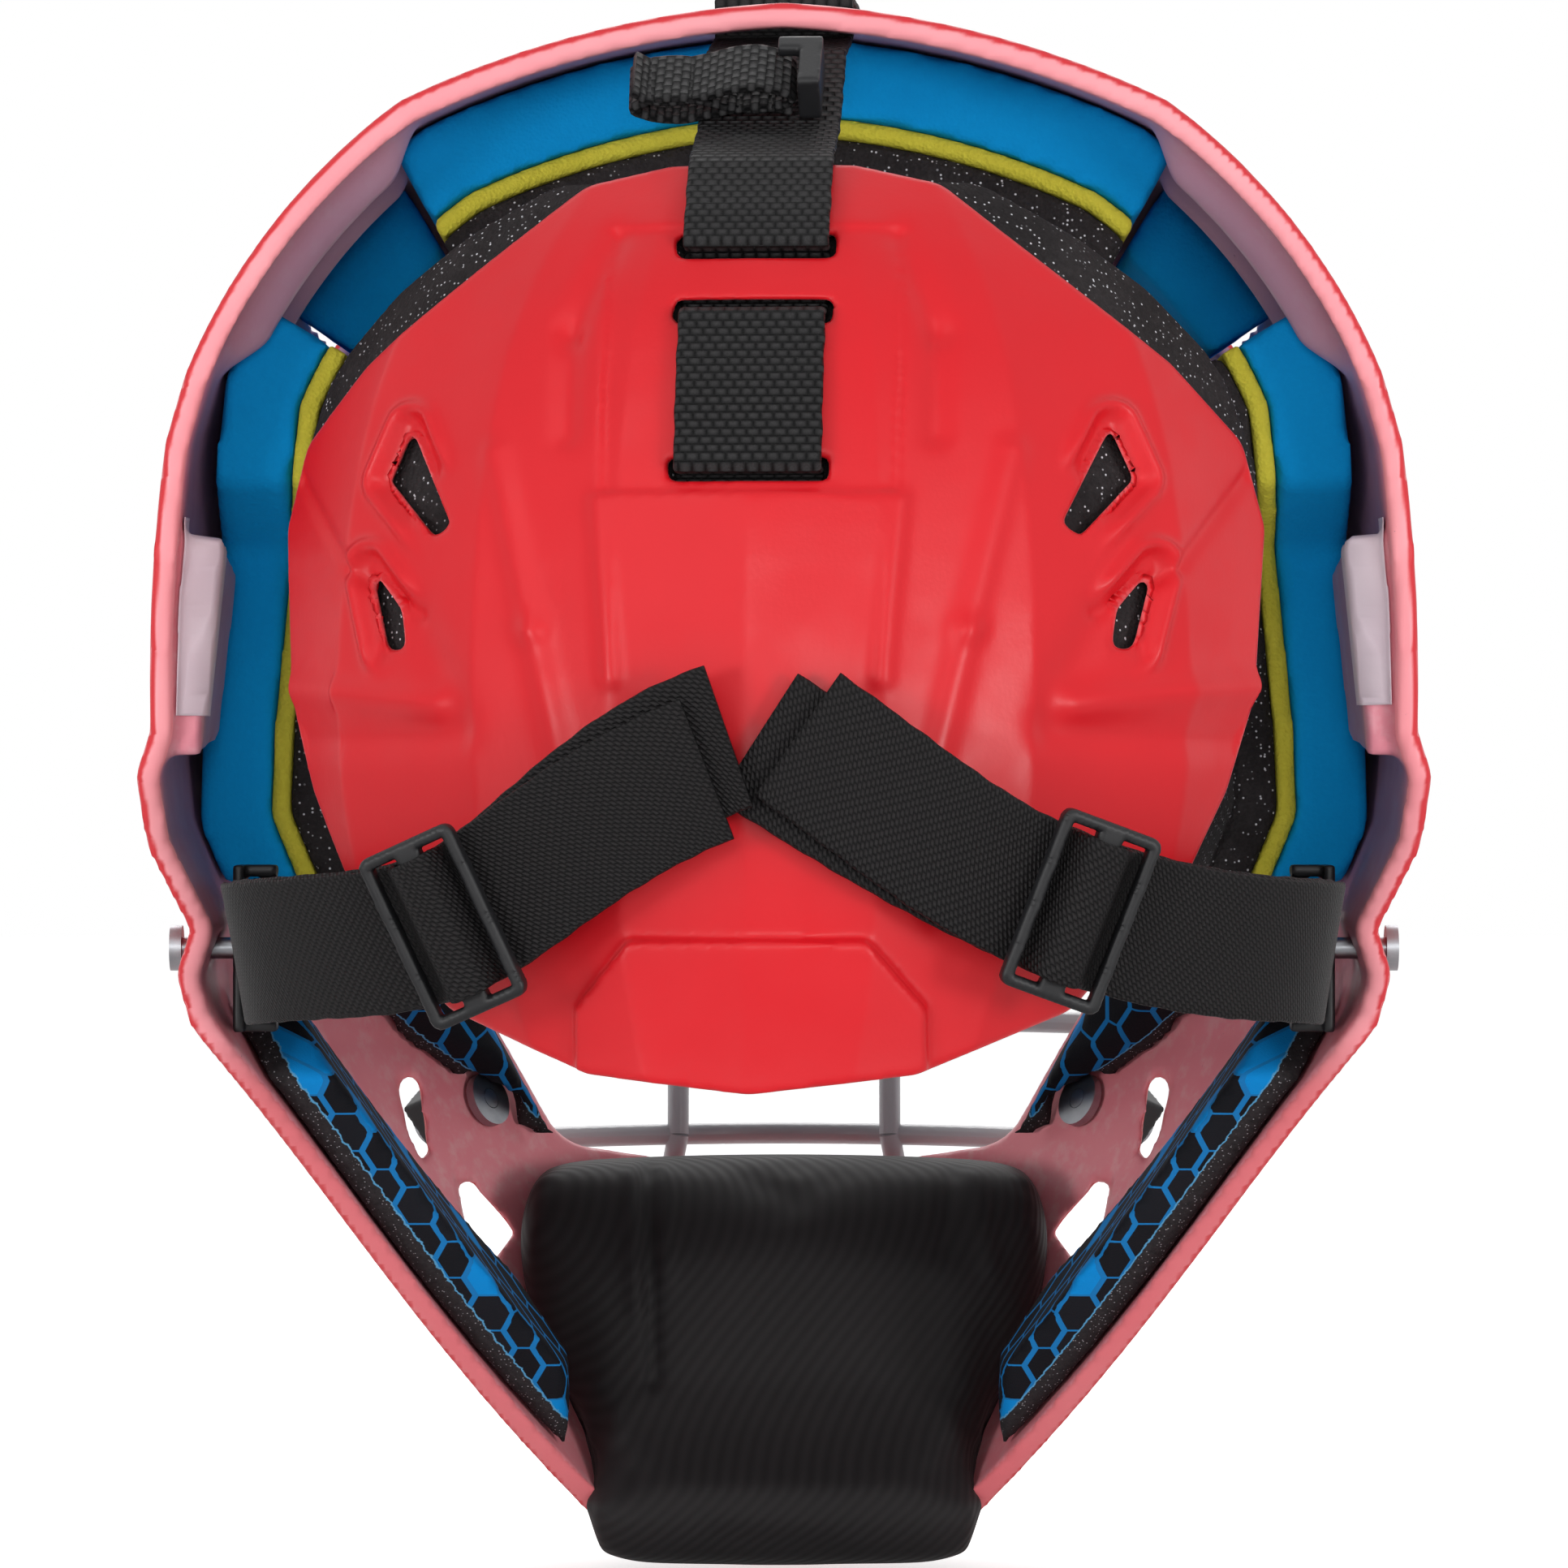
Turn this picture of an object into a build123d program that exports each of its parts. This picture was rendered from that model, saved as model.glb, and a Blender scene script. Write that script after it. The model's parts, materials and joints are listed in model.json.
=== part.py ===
from build123d import *
import os
from math import cos, hypot, radians, sin

os.makedirs("parts", exist_ok=True)

# A baseball catcher helmet of the hockey kind, in millimetres. The origin is the middle of
# the wearer's head, the face looks along -Y, the wearer's left is +X and +Z is up.

# Shell
shell_width = 234.0
crown_rise = 118.0
chin_drop = 172.0
crown_reach = 48.0
muzzle_reach = 146.0
shell_wall = 4.2
jaw_corner_radius = 14.0
overrun = 60.0

# Foam
pad_gap = 0.5
blue_foam = 14.0
yellow_foam = 3.6
black_foam = 8.0
jaw_foam = 11.0
forehead_foam = 12.0

# Straps
webbing_width = 25.4
webbing_thickness = 1.5
slot_clearance = 1.0

# Cage wire, screws and nuts
wire_radius = 2.4
screw_radius = 2.0
screw_hole = 5.0
screw_head_radius, screw_head_height = 4.2, 2.2
nut_radius, nut_thickness = 5.5, 1.8
nut_bore = 4.3
nut_gap = 0.9
fixing_gap = 0.3

# The shell's outline, seen from behind, from the crown down the left side to the chin.
# Across, each point is a share of half the width. Upwards it is a share of the height
# above the middle of the section, and downwards a share of the depth below it.
outline_shares = {
    "crown": (0, 1),
    "crown_corner": (0.585, 0.855),
    "temple": (0.915, 0.445),
    "temple_foot": (0.945, 0.345),
    "ear_top": (0.972, -0.07),
    "ear_ridge": (0.995, -0.124),
    "ear_foot": (0.982, -0.21),
    "cheek": (0.922, -0.315),
    "cheek_ridge": (0.948, -0.37),
    "jaw": (0.93, -0.43),
    "chin_corner": (0.38, -0.98),
    "chin": (0, -1),
}
# The same line without its ridges, for the foam inside.
foam_line = [
    "crown", "crown_corner", "temple", "ear_top", "ear_foot", "cheek", "jaw", "chin_corner", "chin",
]
# How far each stretch that starts at a corner bows out, as a share of its length.
bow_shares = {"crown": 0.05, "crown_corner": 0.07, "temple_foot": 0.02, "jaw": 0.02}

# Sections from behind the rim to the muzzle. Each has its place along Y, its half width, its
# top, its middle and its bottom, and how much of the wall it takes in its own plane.
section_shares = [
    (1.35, 0.985, 0.972, 0, -0.9, 1),
    (0.42, 1, 1, 0, -0.92, 1),
    (-0.17, 0.98, 0.965, 0, -0.95, 1),
    (-0.445, 0.905, 0.86, -0.02, -0.99, 1.05),
    (-0.67, 0.75, 0.68, -0.05, -0.985, 1.15),
    (-0.82, 0.585, 0.46, -0.13, -0.935, 1.3),
    (-0.93, 0.41, 0.16, -0.28, -0.86, 1.5),
    (-1, 0.2, -0.28, -0.5, -0.77, 1.2),
]


def along(share):
    return share * (crown_reach if share > 0 else muzzle_reach)


def height(share):
    return share * (crown_rise if share > 0 else chin_drop)


def section_points(section, names):
    """The outer corners of one half section, as X and Z."""
    _, width, top, middle, bottom, _ = section
    half, high, level, low = width * shell_width / 2, height(top), height(middle), height(bottom)
    points = []
    for name in names:
        across, up = outline_shares[name]
        reach = high - level if up > 0 else level - low
        points.append((across * half, level + up * reach))
    return points


def whole_loop(half_points):
    """The half line and its mirror image, once round, clockwise from the crown."""
    mirrored = [(-x, z) for x, z in reversed(half_points[1:-1])]
    return half_points + mirrored


def inset_loop(points, depth):
    """The loop moved inwards, with its corners kept."""
    moved = []
    count = len(points)
    for i, (x, z) in enumerate(points):
        (ax, az), (bx, bz) = points[i - 1], points[(i + 1) % count]
        before, after = hypot(x - ax, z - az), hypot(bx - x, bz - z)
        n1 = ((z - az) / before, (ax - x) / before)
        n2 = ((bz - z) / after, (x - bx) / after)
        nx, nz = n1[0] + n2[0], n1[1] + n2[1]
        scale = depth / (1 + n1[0] * n2[0] + n1[1] * n2[1])
        moved.append((x + nx * scale, z + nz * scale))
    return moved


def bowed_line(points, names):
    """Lines and arcs round the loop; the named stretches bow outwards."""
    count = len(points)
    half = len(names) - 1
    for i in range(count):
        a, b = Vector(*points[i]), Vector(*points[(i + 1) % count])
        name = names[i] if i < half else names[count - i - 1]
        bow = bow_shares.get(name, 0)
        if bow:
            out = Vector(a.Y - b.Y, b.X - a.X)
            ThreePointArc(a, (a + b) / 2 + out * bow, b)
        else:
            Line(a, b)


def head_form(depth, names, front_shift=0, sections=section_shares):
    """The solid inside the shell's outer face, taken in by a depth."""
    with BuildPart() as form:
        for section in sections:
            loop = whole_loop(section_points(section, names))
            y = along(section[0]) + (front_shift if section is section_shares[-1] else 0)
            with BuildSketch(Plane.XZ.offset(-y)):
                with BuildLine():
                    bowed_line(inset_loop(loop, depth * section[-1]), names)
                make_face()
        loft()
    return form.part


all_corners = list(outline_shares)

# The solids between which the shell and every layer of foam lie.
outer_form = head_form(0, all_corners)
inner_form = head_form(shell_wall, all_corners, shell_wall)


def side_prism(points, from_x, to_x, grow=0):
    """A solid whose side view has these corners, as Y and Z, between two places across."""
    with BuildPart() as prism:
        with BuildSketch(Plane.YZ.offset(from_x)):
            with BuildLine():
                Polyline(*points, close=True)
            make_face()
            if grow:
                offset(amount=grow, kind=Kind.INTERSECTION)
        extrude(amount=to_x - from_x)
    return prism.part


def back_prism(points, from_y, to_y):
    """A solid whose view from the front has these corners, as X and Z."""
    with BuildPart() as prism:
        with BuildSketch(Plane.XZ.offset(-to_y)):
            with BuildLine():
                Polyline(*points, close=True)
            make_face()
        extrude(amount=to_y - from_y)
    return prism.part


# The rim in side view, from over the crown to under the chin, as shares along and up.
rim_shares = [(1, 1.2), (1, 0.45), (0.875, -0.13), (0.5, -0.42), (-0.56, -1.03), (-0.56, -1.3)]
rim = [(along(y), height(z)) for y, z in rim_shares]
behind = crown_reach + overrun
with BuildPart() as rim_cutter:
    with BuildSketch(Plane.YZ.offset(-shell_width)):
        with BuildLine():
            Polyline(*rim, (behind, rim[-1][1]), (behind, rim[0][1]), close=True)
        make_face()
        jaw_corner = vertices().sort_by_distance((0, *rim[3]))[0]
        fillet(jaw_corner, jaw_corner_radius)
    extrude(amount=2 * shell_width)

# The face opening, seen from the front, from the brow down the left side.
face_shares = [
    (0, 0.3), (0.36, 0.28), (0.655, 0.12), (0.69, -0.08), (0.6, -0.31), (0.39, -0.57), (0, -0.62),
]
face_points = [(x * shell_width / 2, height(z)) for x, z in face_shares]
face_corner_radius = 12.0
face_depth_share = -0.48
with BuildPart() as face_cutter:
    with BuildSketch(Plane.XZ.offset(-along(face_depth_share))):
        with BuildLine():
            Polyline(*whole_loop(face_points), close=True)
        make_face()
        fillet(vertices(), face_corner_radius)
    extrude(amount=muzzle_reach + overrun)

# Holes through the jaw, seen from the front: a narrow slot and a three-cornered window.
jaw_slot_shares = [(0.665, -0.482), (0.63, -0.482), (0.608, -0.57), (0.624, -0.595)]
jaw_window_shares = [(0.572, -0.578), (0.464, -0.668), (0.521, -0.718)]
# Air slots in the forehead, seen from the front, and above the temple and over the ear,
# seen from the side.
brow_vent_shares = [(0.14, 0.6), (0.36, 0.54), (0.4, 0.6), (0.17, 0.68)]
temple_vent_shares = [(-0.2, 0.56), (-0.42, 0.5), (-0.44, 0.57), (-0.22, 0.64)]
ear_vent_shares = [(-0.1, -0.29), (-0.15, -0.29), (-0.24, -0.39), (-0.19, -0.39)]
ear_vent_count = 3
ear_vent_step_share = -0.09
jaw_hole_depth_share = -0.6
brow_depth_share = -0.4
front_hole_shares = [
    (jaw_slot_shares, jaw_hole_depth_share),
    (jaw_window_shares, jaw_hole_depth_share),
    (brow_vent_shares, brow_depth_share),
]

# The hollow pressed into each side above the ear, which stands proud inside.
scoop_depth = 5.0
scoop_shares = [(0.74, 0.13), (0.72, -0.085), (0.32, -0.07), (0.28, 0.1)]

# The crown strap's slot and its screw hole in front of it.
strap_slot_y = 31.0
strap_slot_width = webbing_width + 2 * slot_clearance
strap_slot_length = webbing_thickness + 2 * slot_clearance
strap_screw_y = 4.0


def front_points(shares, side=1):
    """Corners in the view from the front, as X and Z, on one side of the helmet."""
    return [(side * x * shell_width / 2, height(z)) for x, z in shares]


def side_points(shares, step=0):
    """Corners in the side view, as Y and Z, moved along by a share."""
    return [(along(y + step), height(z)) for y, z in shares]


half_width = shell_width / 2
front_end = -muzzle_reach - overrun


def line_hit(form, place, heading):
    """The first point and outward direction where a line from a place meets a form."""
    hits = form.find_intersection_points(Axis(place, heading))
    hits = [hit for hit in hits if (hit[0] - place).dot(heading) > 0]
    point, normal = min(hits, key=lambda hit: (hit[0] - place).dot(heading))
    return point, normal


def front_face(x, z):
    """The shell's outer face and its outward direction, seen from the front."""
    point, normal = line_hit(outer_form, Vector(x, front_end, z), Vector(0, 1, 0))
    return point, normal if normal.Y < 0 else normal * -1


# The cage's edge wire goes round the face opening, on the shell's outside.
wire_standoff = 2.0
upright_share = 0.188
cage_edge_shares = [
    (0, 0.352), (upright_share, 0.349), (0.376, 0.33), (0.69, 0.145), (0.738, -0.03),
    (0.722, -0.157), (0.667, -0.29), (0.577, -0.424), (0.453, -0.558), (0.33, -0.618),
    (upright_share, -0.652), (0, -0.662),
]
cage_edge = []
for x, z in front_points(cage_edge_shares):
    point, normal = front_face(x, z)
    wire_point = point + normal * (wire_radius + wire_standoff)
    cage_edge.append(wire_point if x else Vector(0, wire_point.Y, wire_point.Z))
cage_loop = cage_edge + [Vector(-p.X, p.Y, p.Z) for p in reversed(cage_edge[1:-1])]
edge_ends = (Vector(1, 0, 0), Vector(-1, 0, 0))
cage_curve = Edge.make_spline(cage_edge, tangents=edge_ends)

# Plastic saddles hold the edge wire down. Each has its screw on the side away from the
# opening, with a nut inside the shell.
clip_length, clip_width, clip_cover = 15.0, 22.0, 2.4
clip_screw_offset = 10.0
clip_place_shares = [(0, 1), (0.416, 1), (0.727, 1), (0.416, -1), (0.727, -1)]
clip_planes, screw_planes, nut_planes = [], [], []
opening_middle = Vector(0, -muzzle_reach, height(cage_edge_shares[5][1]))
for share, side in clip_place_shares:
    wire_point, wire = cage_curve @ share, cage_curve % share
    wire_point, wire = [Vector(side * v.X, v.Y, v.Z) for v in (wire_point, wire)]
    _, normal = front_face(wire_point.X, wire_point.Z)
    outward = normal.cross(wire)
    if outward.dot(wire_point - opening_middle) < 0:
        wire, outward = wire * -1, outward * -1
    screw_point = wire_point + outward * clip_screw_offset
    _, normal = front_face(screw_point.X, screw_point.Z)
    wire = wire - normal * wire.dot(normal)
    plane = Plane(wire_point, x_dir=wire, z_dir=normal)
    clip_planes.append(plane)
    screw_top = wire_point + plane.y_dir * clip_screw_offset + normal * (wire_radius + clip_cover)
    screw_planes.append(Plane(screw_top, x_dir=wire, z_dir=normal))
    inner_point, _ = line_hit(inner_form, screw_top, normal * -1)
    nut_planes.append(Plane(inner_point, x_dir=wire, z_dir=normal))

# The side straps are fixed at the jaw, inside the shell's side walls.
anchor_y_share, anchor_z_share = 0.3, -0.318
anchor_y, anchor_z = along(anchor_y_share), height(anchor_z_share)

scoop_floor = head_form(scoop_depth, foam_line)
scoop_back = head_form(scoop_depth + shell_wall, foam_line)
scoop_points = side_points(scoop_shares)

scoop_outline = side_prism(scoop_points, -shell_width, shell_width)
scoop_wall_outline = side_prism(scoop_points, -shell_width, shell_width, shell_wall)

with BuildPart() as scoop_hollow:
    add(outer_form)
    add(scoop_floor, mode=Mode.SUBTRACT)
    add(scoop_outline, mode=Mode.INTERSECT)

with BuildPart() as scoop_block:
    add(inner_form)
    add(scoop_back, mode=Mode.SUBTRACT)
    add(scoop_wall_outline, mode=Mode.INTERSECT)

# The prisms that cut the shell's holes.
hole_prisms = [side_prism(side_points(temple_vent_shares), -shell_width, shell_width)]
for i in range(ear_vent_count):
    ear_vent = side_points(ear_vent_shares, i * ear_vent_step_share)
    hole_prisms.append(side_prism(ear_vent, -shell_width, shell_width))
for shares, depth_share in front_hole_shares:
    for side in (1, -1):
        hole_prisms.append(back_prism(front_points(shares, side), front_end, along(depth_share)))

with BuildPart() as front_shell:
    add(outer_form)
    add(inner_form, mode=Mode.SUBTRACT)
    add(rim_cutter.part, mode=Mode.SUBTRACT)
    add(face_cutter.part, mode=Mode.SUBTRACT)
    add(scoop_block.part)
    add(scoop_hollow.part, mode=Mode.SUBTRACT)
    for hole in hole_prisms:
        add(hole, mode=Mode.SUBTRACT)
    with Locations((0, strap_slot_y, crown_rise)):
        Box(strap_slot_width, strap_slot_length, overrun, mode=Mode.SUBTRACT)
    with Locations((0, strap_screw_y, crown_rise)):
        Cylinder(screw_hole / 2, overrun, mode=Mode.SUBTRACT)
    with Locations(*nut_planes):
        Cylinder(screw_hole / 2, 4 * shell_wall, mode=Mode.SUBTRACT)
    with Locations((0, anchor_y, anchor_z)):
        Cylinder(screw_hole / 2, 3 * shell_width, rotation=(0, 90, 0), mode=Mode.SUBTRACT)
front_shell.part.label = "front_shell"
export_step(front_shell.part, "parts/front_shell.step")

# Foam. Each block is a slice of the space inside the shell, cut out by its outline.
face_sections = section_shares[:6]
head_sections = section_shares[:4]


def foam_form(depth, sections):
    return head_form(shell_wall + pad_gap + depth, foam_line, sections=sections)


foam_outer = head_form(shell_wall + pad_gap, foam_line, shell_wall + pad_gap)
blue_inner = foam_form(blue_foam, head_sections)
yellow_inner = foam_form(blue_foam + yellow_foam, head_sections)
black_inner = foam_form(blue_foam + yellow_foam + black_foam, head_sections)
jaw_inner = foam_form(jaw_foam, face_sections)
forehead_inner = foam_form(forehead_foam, face_sections)
foam_layers = {
    "blue_foam": (foam_outer, blue_inner),
    "yellow_foam": (blue_inner, yellow_inner),
    "black_foam": (yellow_inner, black_inner),
}


def foam_block(layer, *outlines):
    """One layer of foam inside all of the outlines."""
    outside, inside = layer
    with BuildPart() as block:
        add(outside)
        add(inside, mode=Mode.SUBTRACT)
        for outline in outlines:
            add(outline, mode=Mode.INTERSECT)
    return block.part


def save_piece(piece, name):
    piece.label = name
    export_step(piece, f"parts/{name}.step")


# Room in the foam behind each nut.
nut_room_radius, nut_room_depth = 8.0, 5.0
with BuildPart() as nut_rooms:
    with Locations(*nut_planes):
        Cylinder(nut_room_radius, 2 * nut_room_depth)
    with Locations((0, strap_screw_y, crown_rise - shell_wall)):
        Cylinder(nut_room_radius, 2 * nut_room_depth)


def with_nut_rooms(block):
    with BuildPart() as roomy:
        add(block)
        add(nut_rooms.part, mode=Mode.SUBTRACT)
    return roomy.part


pad_rear_y = 22.0
crown_wedge_shares = [(0, -0.23), (0.845, 1.2), (-0.845, 1.2)]
crown_front_share = -0.44
crown_outline = back_prism(front_points(crown_wedge_shares), along(crown_front_share), pad_rear_y)
for name, layer in foam_layers.items():
    save_piece(with_nut_rooms(foam_block(layer, crown_outline)), f"crown_pad_{name}")

# The side foam, in side view: a lobe by the temple that reaches the rim, over the ear part.
side_pad_shares = [
    (0.5, 0.56), (0.5, 0.26), (0.08, 0.16), (0.04, -0.25), (-0.4, -0.25), (-0.42, 0.25),
    (-0.28, 0.56),
]
side_wedge_shares = [(0, 0.06), (1.11, 0.71), (1.11, -0.35), (0, -0.35)]
temple_pad_shares = [(-0.12, 0.4), (-0.12, 0.8), (-0.44, 0.8), (-0.44, 0.4)]
temple_wedge_shares = [(0.32, 0.256), (0.88, 1.2), (1.11, 1.2), (1.11, 0.74)]


def two_sided(piece, name):
    """Writes the left piece and its mirror image on the right."""
    save_piece(piece, f"left_{name}")
    save_piece(mirror(piece, about=Plane.YZ, mode=Mode.PRIVATE), f"right_{name}")


side_outline = side_prism(side_points(side_pad_shares), 0, shell_width)
side_wedge = back_prism(front_points(side_wedge_shares), front_end, behind)
for name, layer in foam_layers.items():
    two_sided(foam_block(layer, side_outline, side_wedge), f"side_pad_{name}")

temple_outline = side_prism(side_points(temple_pad_shares), 0, shell_width)
temple_wedge = back_prism(front_points(temple_wedge_shares), front_end, behind)
two_sided(foam_block(foam_layers["blue_foam"], temple_outline, temple_wedge), "temple_pad")

# The forehead foam, seen from the front.
forehead_shares = [
    (-0.52, 0.3), (0.52, 0.3), (0.56, 0.5), (0.4, 0.85), (-0.4, 0.85), (-0.56, 0.5),
]
forehead_rear_share, forehead_front_share = -0.48, -0.815
forehead_outline = back_prism(
    front_points(forehead_shares), along(forehead_front_share), along(forehead_rear_share)
)
forehead_block = foam_block((foam_outer, forehead_inner), forehead_outline)
save_piece(with_nut_rooms(forehead_block), "forehead_pad")

# Chin cushion. It lies in the shell's chin, and its foot hangs over the rim. Each level
# section has its height, half width, front and back.
chin_section_shares = [
    (-0.587, 0.342, -0.863, -0.664),
    (-0.634, 0.453, -0.918, -0.589),
    (-0.744, 0.444, -0.945, -0.548),
    (-0.872, 0.393, -0.904, -0.505),
    (-0.948, 0.359, -0.808, -0.435),
    (-0.994, 0.342, -0.52, -0.41),
    (-1.03, 0.308, -0.525, -0.42),
]
chin_corner_radius = 7.0
chin_gap = 0.5


def chin_form(grow):
    with BuildPart() as form:
        for level, half, front, back in chin_section_shares:
            deep, middle = along(front) - along(back), (along(front) + along(back)) / 2
            with BuildSketch(Plane.XY.offset(height(level))):
                with Locations((0, middle)):
                    RectangleRounded(half * shell_width + 2 * grow, 2 * grow - deep, chin_corner_radius)
        loft()
    return form.part


chin_block, chin_room = chin_form(0), chin_form(chin_gap)
shell_skin = head_form(-chin_gap, foam_line)
shell_hollow = head_form(shell_wall + chin_gap, foam_line, shell_wall + chin_gap)
with BuildPart() as shell_room:
    add(shell_skin)
    add(shell_hollow, mode=Mode.SUBTRACT)
    add(rim_cutter.part.moved(Location((0, chin_gap, -chin_gap))), mode=Mode.SUBTRACT)
with BuildPart() as chin_pad:
    add(chin_block)
    add(shell_room.part, mode=Mode.SUBTRACT)
save_piece(chin_pad.part.solids().sort_by(SortBy.VOLUME)[-1], "chin_pad")


def jaw_point(down, inward):
    """A point in the side view, from how far it lies down the jaw's rim and in from it."""
    start, end = Vector(*rim[3]), Vector(*rim[4])
    step = (end - start).normalized()
    point = start + step * down + Vector(step.Y, -step.X) * inward
    return (point.X, point.Y)


jaw_pad_start, jaw_pad_end = 13.0, 122.0
jaw_pad_setback, jaw_pad_width = 4.0, 25.0
jaw_pad_points = [
    jaw_point(jaw_pad_start, jaw_pad_setback),
    jaw_point(jaw_pad_end, jaw_pad_setback),
    jaw_point(jaw_pad_end - jaw_pad_width, jaw_pad_setback + jaw_pad_width),
    jaw_point(jaw_pad_start, jaw_pad_setback + jaw_pad_width),
]
jaw_pad_inner_end = 42.0
jaw_outline = side_prism(jaw_pad_points, jaw_pad_inner_end, shell_width)
jaw_block = foam_block((foam_outer, jaw_inner), jaw_outline)
with BuildPart() as jaw_pad:
    add(jaw_block)
    add(chin_room, mode=Mode.SUBTRACT)
two_sided(jaw_pad.part, "jaw_pad")

cheek_pad_shares = [
    (-0.53, -0.35), (-0.765, -0.51), (-0.815, -0.56), (-0.815, -0.42), (-0.66, -0.3),
]
cheek_outline = side_prism(side_points(cheek_pad_shares), 0, shell_width)
cheek_block = foam_block((foam_outer, jaw_inner), cheek_outline)
with BuildPart() as cheek_pad:
    add(cheek_block)
    add(face_cutter.part, mode=Mode.SUBTRACT)
    add(chin_room, mode=Mode.SUBTRACT)
    add(nut_rooms.part, mode=Mode.SUBTRACT)
two_sided(cheek_pad.part, "cheek_pad")

# Rear plate. It is drawn square to the shell, and then turned a little on its straps.
plate_width = 178.0
plate_height = 162.0
plate_middle_z = 3.5
plate_reach = 121.0
plate_wall = 3.0
plate_corner_radius = 7.0
plate_turn = -4.2
liner_thickness = 8.0
liner_gap = 0.3
half_plate = plate_width / 2
plate_rear = plate_reach + overrun

# Level sections of the plate, as shares of its half height, half width and reach.
plate_section_shares = [
    (1.16, 0.47, 0.5, 0.565),
    (0.845, 0.76, 0.48, 0.785),
    (0.51, 0.955, 0.44, 0.925),
    (0.08, 1.04, 0.413, 0.99),
    (-0.35, 1.04, 0.413, 1),
    (-0.72, 0.93, 0.455, 0.97),
    (-1.08, 0.72, 0.545, 0.95),
]
# Each section's corners, from the edge to the middle, with how far they fall from the back.
plate_curve_shares = [(1, 1), (0.8, 0.53), (0.52, 0.2), (0.25, 0.035), (0, 0)]
plate_front_share = 0.15


def plate_z(share):
    return plate_middle_z + share * plate_height / 2


def plate_form(depth):
    """The solid in front of the plate's outer face, taken in by a depth."""
    front = plate_front_share * plate_reach
    with BuildPart() as form:
        for level, width, edge, back in plate_section_shares:
            half, edge_y, back_y = width * half_plate, edge * plate_reach, back * plate_reach
            left = [(x * half, back_y - drop * (back_y - edge_y)) for x, drop in plate_curve_shares]
            right = [(-x, y) for x, y in reversed(left[:-1])]
            loop = [(half, front)] + left + right + [(-half, front)]
            with BuildSketch(Plane.XY.offset(plate_z(level))):
                with BuildLine():
                    Polyline(*inset_loop(loop, -depth), close=True)
                make_face()
        loft()
    return form.part


def plate_points(shares, side=1):
    return [(side * x * half_plate, plate_z(z)) for x, z in shares]


def plate_outline(shares, radius):
    """The plate's edge seen from behind, as a prism with its corners rounded."""
    with BuildPart() as prism:
        with BuildSketch(Plane.XZ.offset(-plate_rear)):
            with BuildLine():
                Polyline(*whole_loop(plate_points(shares)), close=True)
            make_face()
            fillet(vertices(), radius)
        extrude(amount=plate_rear - 2 * plate_front_share * plate_reach)
    return prism.part


plate_outline_shares = [
    (0, 1), (0.185, 0.995), (0.35, 0.955), (0.47, 0.85), (0.57, 0.765), (0.8, 0.57), (0.94, 0.405),
    (0.985, 0.22), (0.965, -0.155), (0.91, -0.36), (0.83, -0.55), (0.61, -0.83), (0.32, -0.96),
    (0, -1),
]
liner_outline_shares = [
    (0, 0.96), (0.42, 0.965), (0.61, 0.85), (0.75, 0.74), (0.865, 0.61), (0.975, 0.43), (0.965, 0.2),
    (0.93, -0.15), (0.87, -0.34), (0.79, -0.52), (0.57, -0.78), (0.3, -0.9), (0, -0.94),
]
upper_vent_shares = [(0.685, 0.42), (0.73, 0.31), (0.63, 0.185), (0.595, 0.21)]
lower_vent_shares = [(0.77, 0.125), (0.73, -0.055), (0.69, -0.055), (0.7, 0.03)]

# The three slots for the webbing, and the tray pressed in between them.
slot_level_shares = [0.805, 0.66, 0.32]
slot_room = 2.6
plate_slot_height = webbing_thickness + slot_room
plate_slot_width = webbing_width + 2 * slot_clearance
tray_depth = 0.9
tray_share = 0.29
lip_height = 1.8
lip_shares = [
    (0.23, -0.675), (0.34, -0.82), (0.34, -1.1), (-0.34, -1.1), (-0.34, -0.82), (-0.23, -0.675),
]

plate_outer = plate_form(0)
plate_inner = plate_form(plate_wall)
tray_floor = plate_form(tray_depth)
lip_outer = plate_form(-lip_height)
liner_outer = plate_form(plate_wall + liner_gap)
liner_inner = plate_form(plate_wall + liner_gap + liner_thickness)
plate_hollow = 1.4
channel_depth = webbing_thickness + slot_clearance + plate_hollow
channel_floor = plate_form(plate_wall + liner_gap + channel_depth)


def turned(piece):
    """The piece as it hangs, turned about the upright line through the crown slot."""
    return piece.rotate(Axis((0, strap_slot_y, 0), (0, 0, 1)), plate_turn)


def turned_point(x, y, z):
    angle = radians(plate_turn)
    back = y - strap_slot_y
    turned_x = x * cos(angle) - back * sin(angle)
    return Vector(turned_x, strap_slot_y + x * sin(angle) + back * cos(angle), z)


def plate_back(x, z):
    """How far back the plate's outer face lies at a place across and up."""
    hits = plate_outer.find_intersection_points(Axis((x, 0, z), (0, 1, 0)))
    return max(point.Y for point, _ in hits)


slot_levels = [plate_z(share) for share in slot_level_shares]
with BuildPart() as tray:
    add(plate_outer)
    add(tray_floor, mode=Mode.SUBTRACT)
    with Locations((0, plate_rear, (slot_levels[0] + slot_levels[2]) / 2)):
        Box(
            2 * tray_share * half_plate,
            2 * plate_rear,
            slot_levels[0] - slot_levels[2] + 2 * plate_slot_height,
            mode=Mode.INTERSECT,
        )

lip_prism = back_prism(plate_points(lip_shares), plate_reach / 2, plate_rear)
plate_edge = plate_outline(plate_outline_shares, plate_corner_radius)
liner_edge = plate_outline(liner_outline_shares, plate_corner_radius)
plate_vents = [
    back_prism(plate_points(shares, side), 0, plate_rear)
    for side in (1, -1)
    for shares in (upper_vent_shares, lower_vent_shares)
]

with BuildPart() as plate_lip:
    add(lip_outer)
    add(plate_outer, mode=Mode.SUBTRACT)
    add(lip_prism, mode=Mode.INTERSECT)

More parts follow.
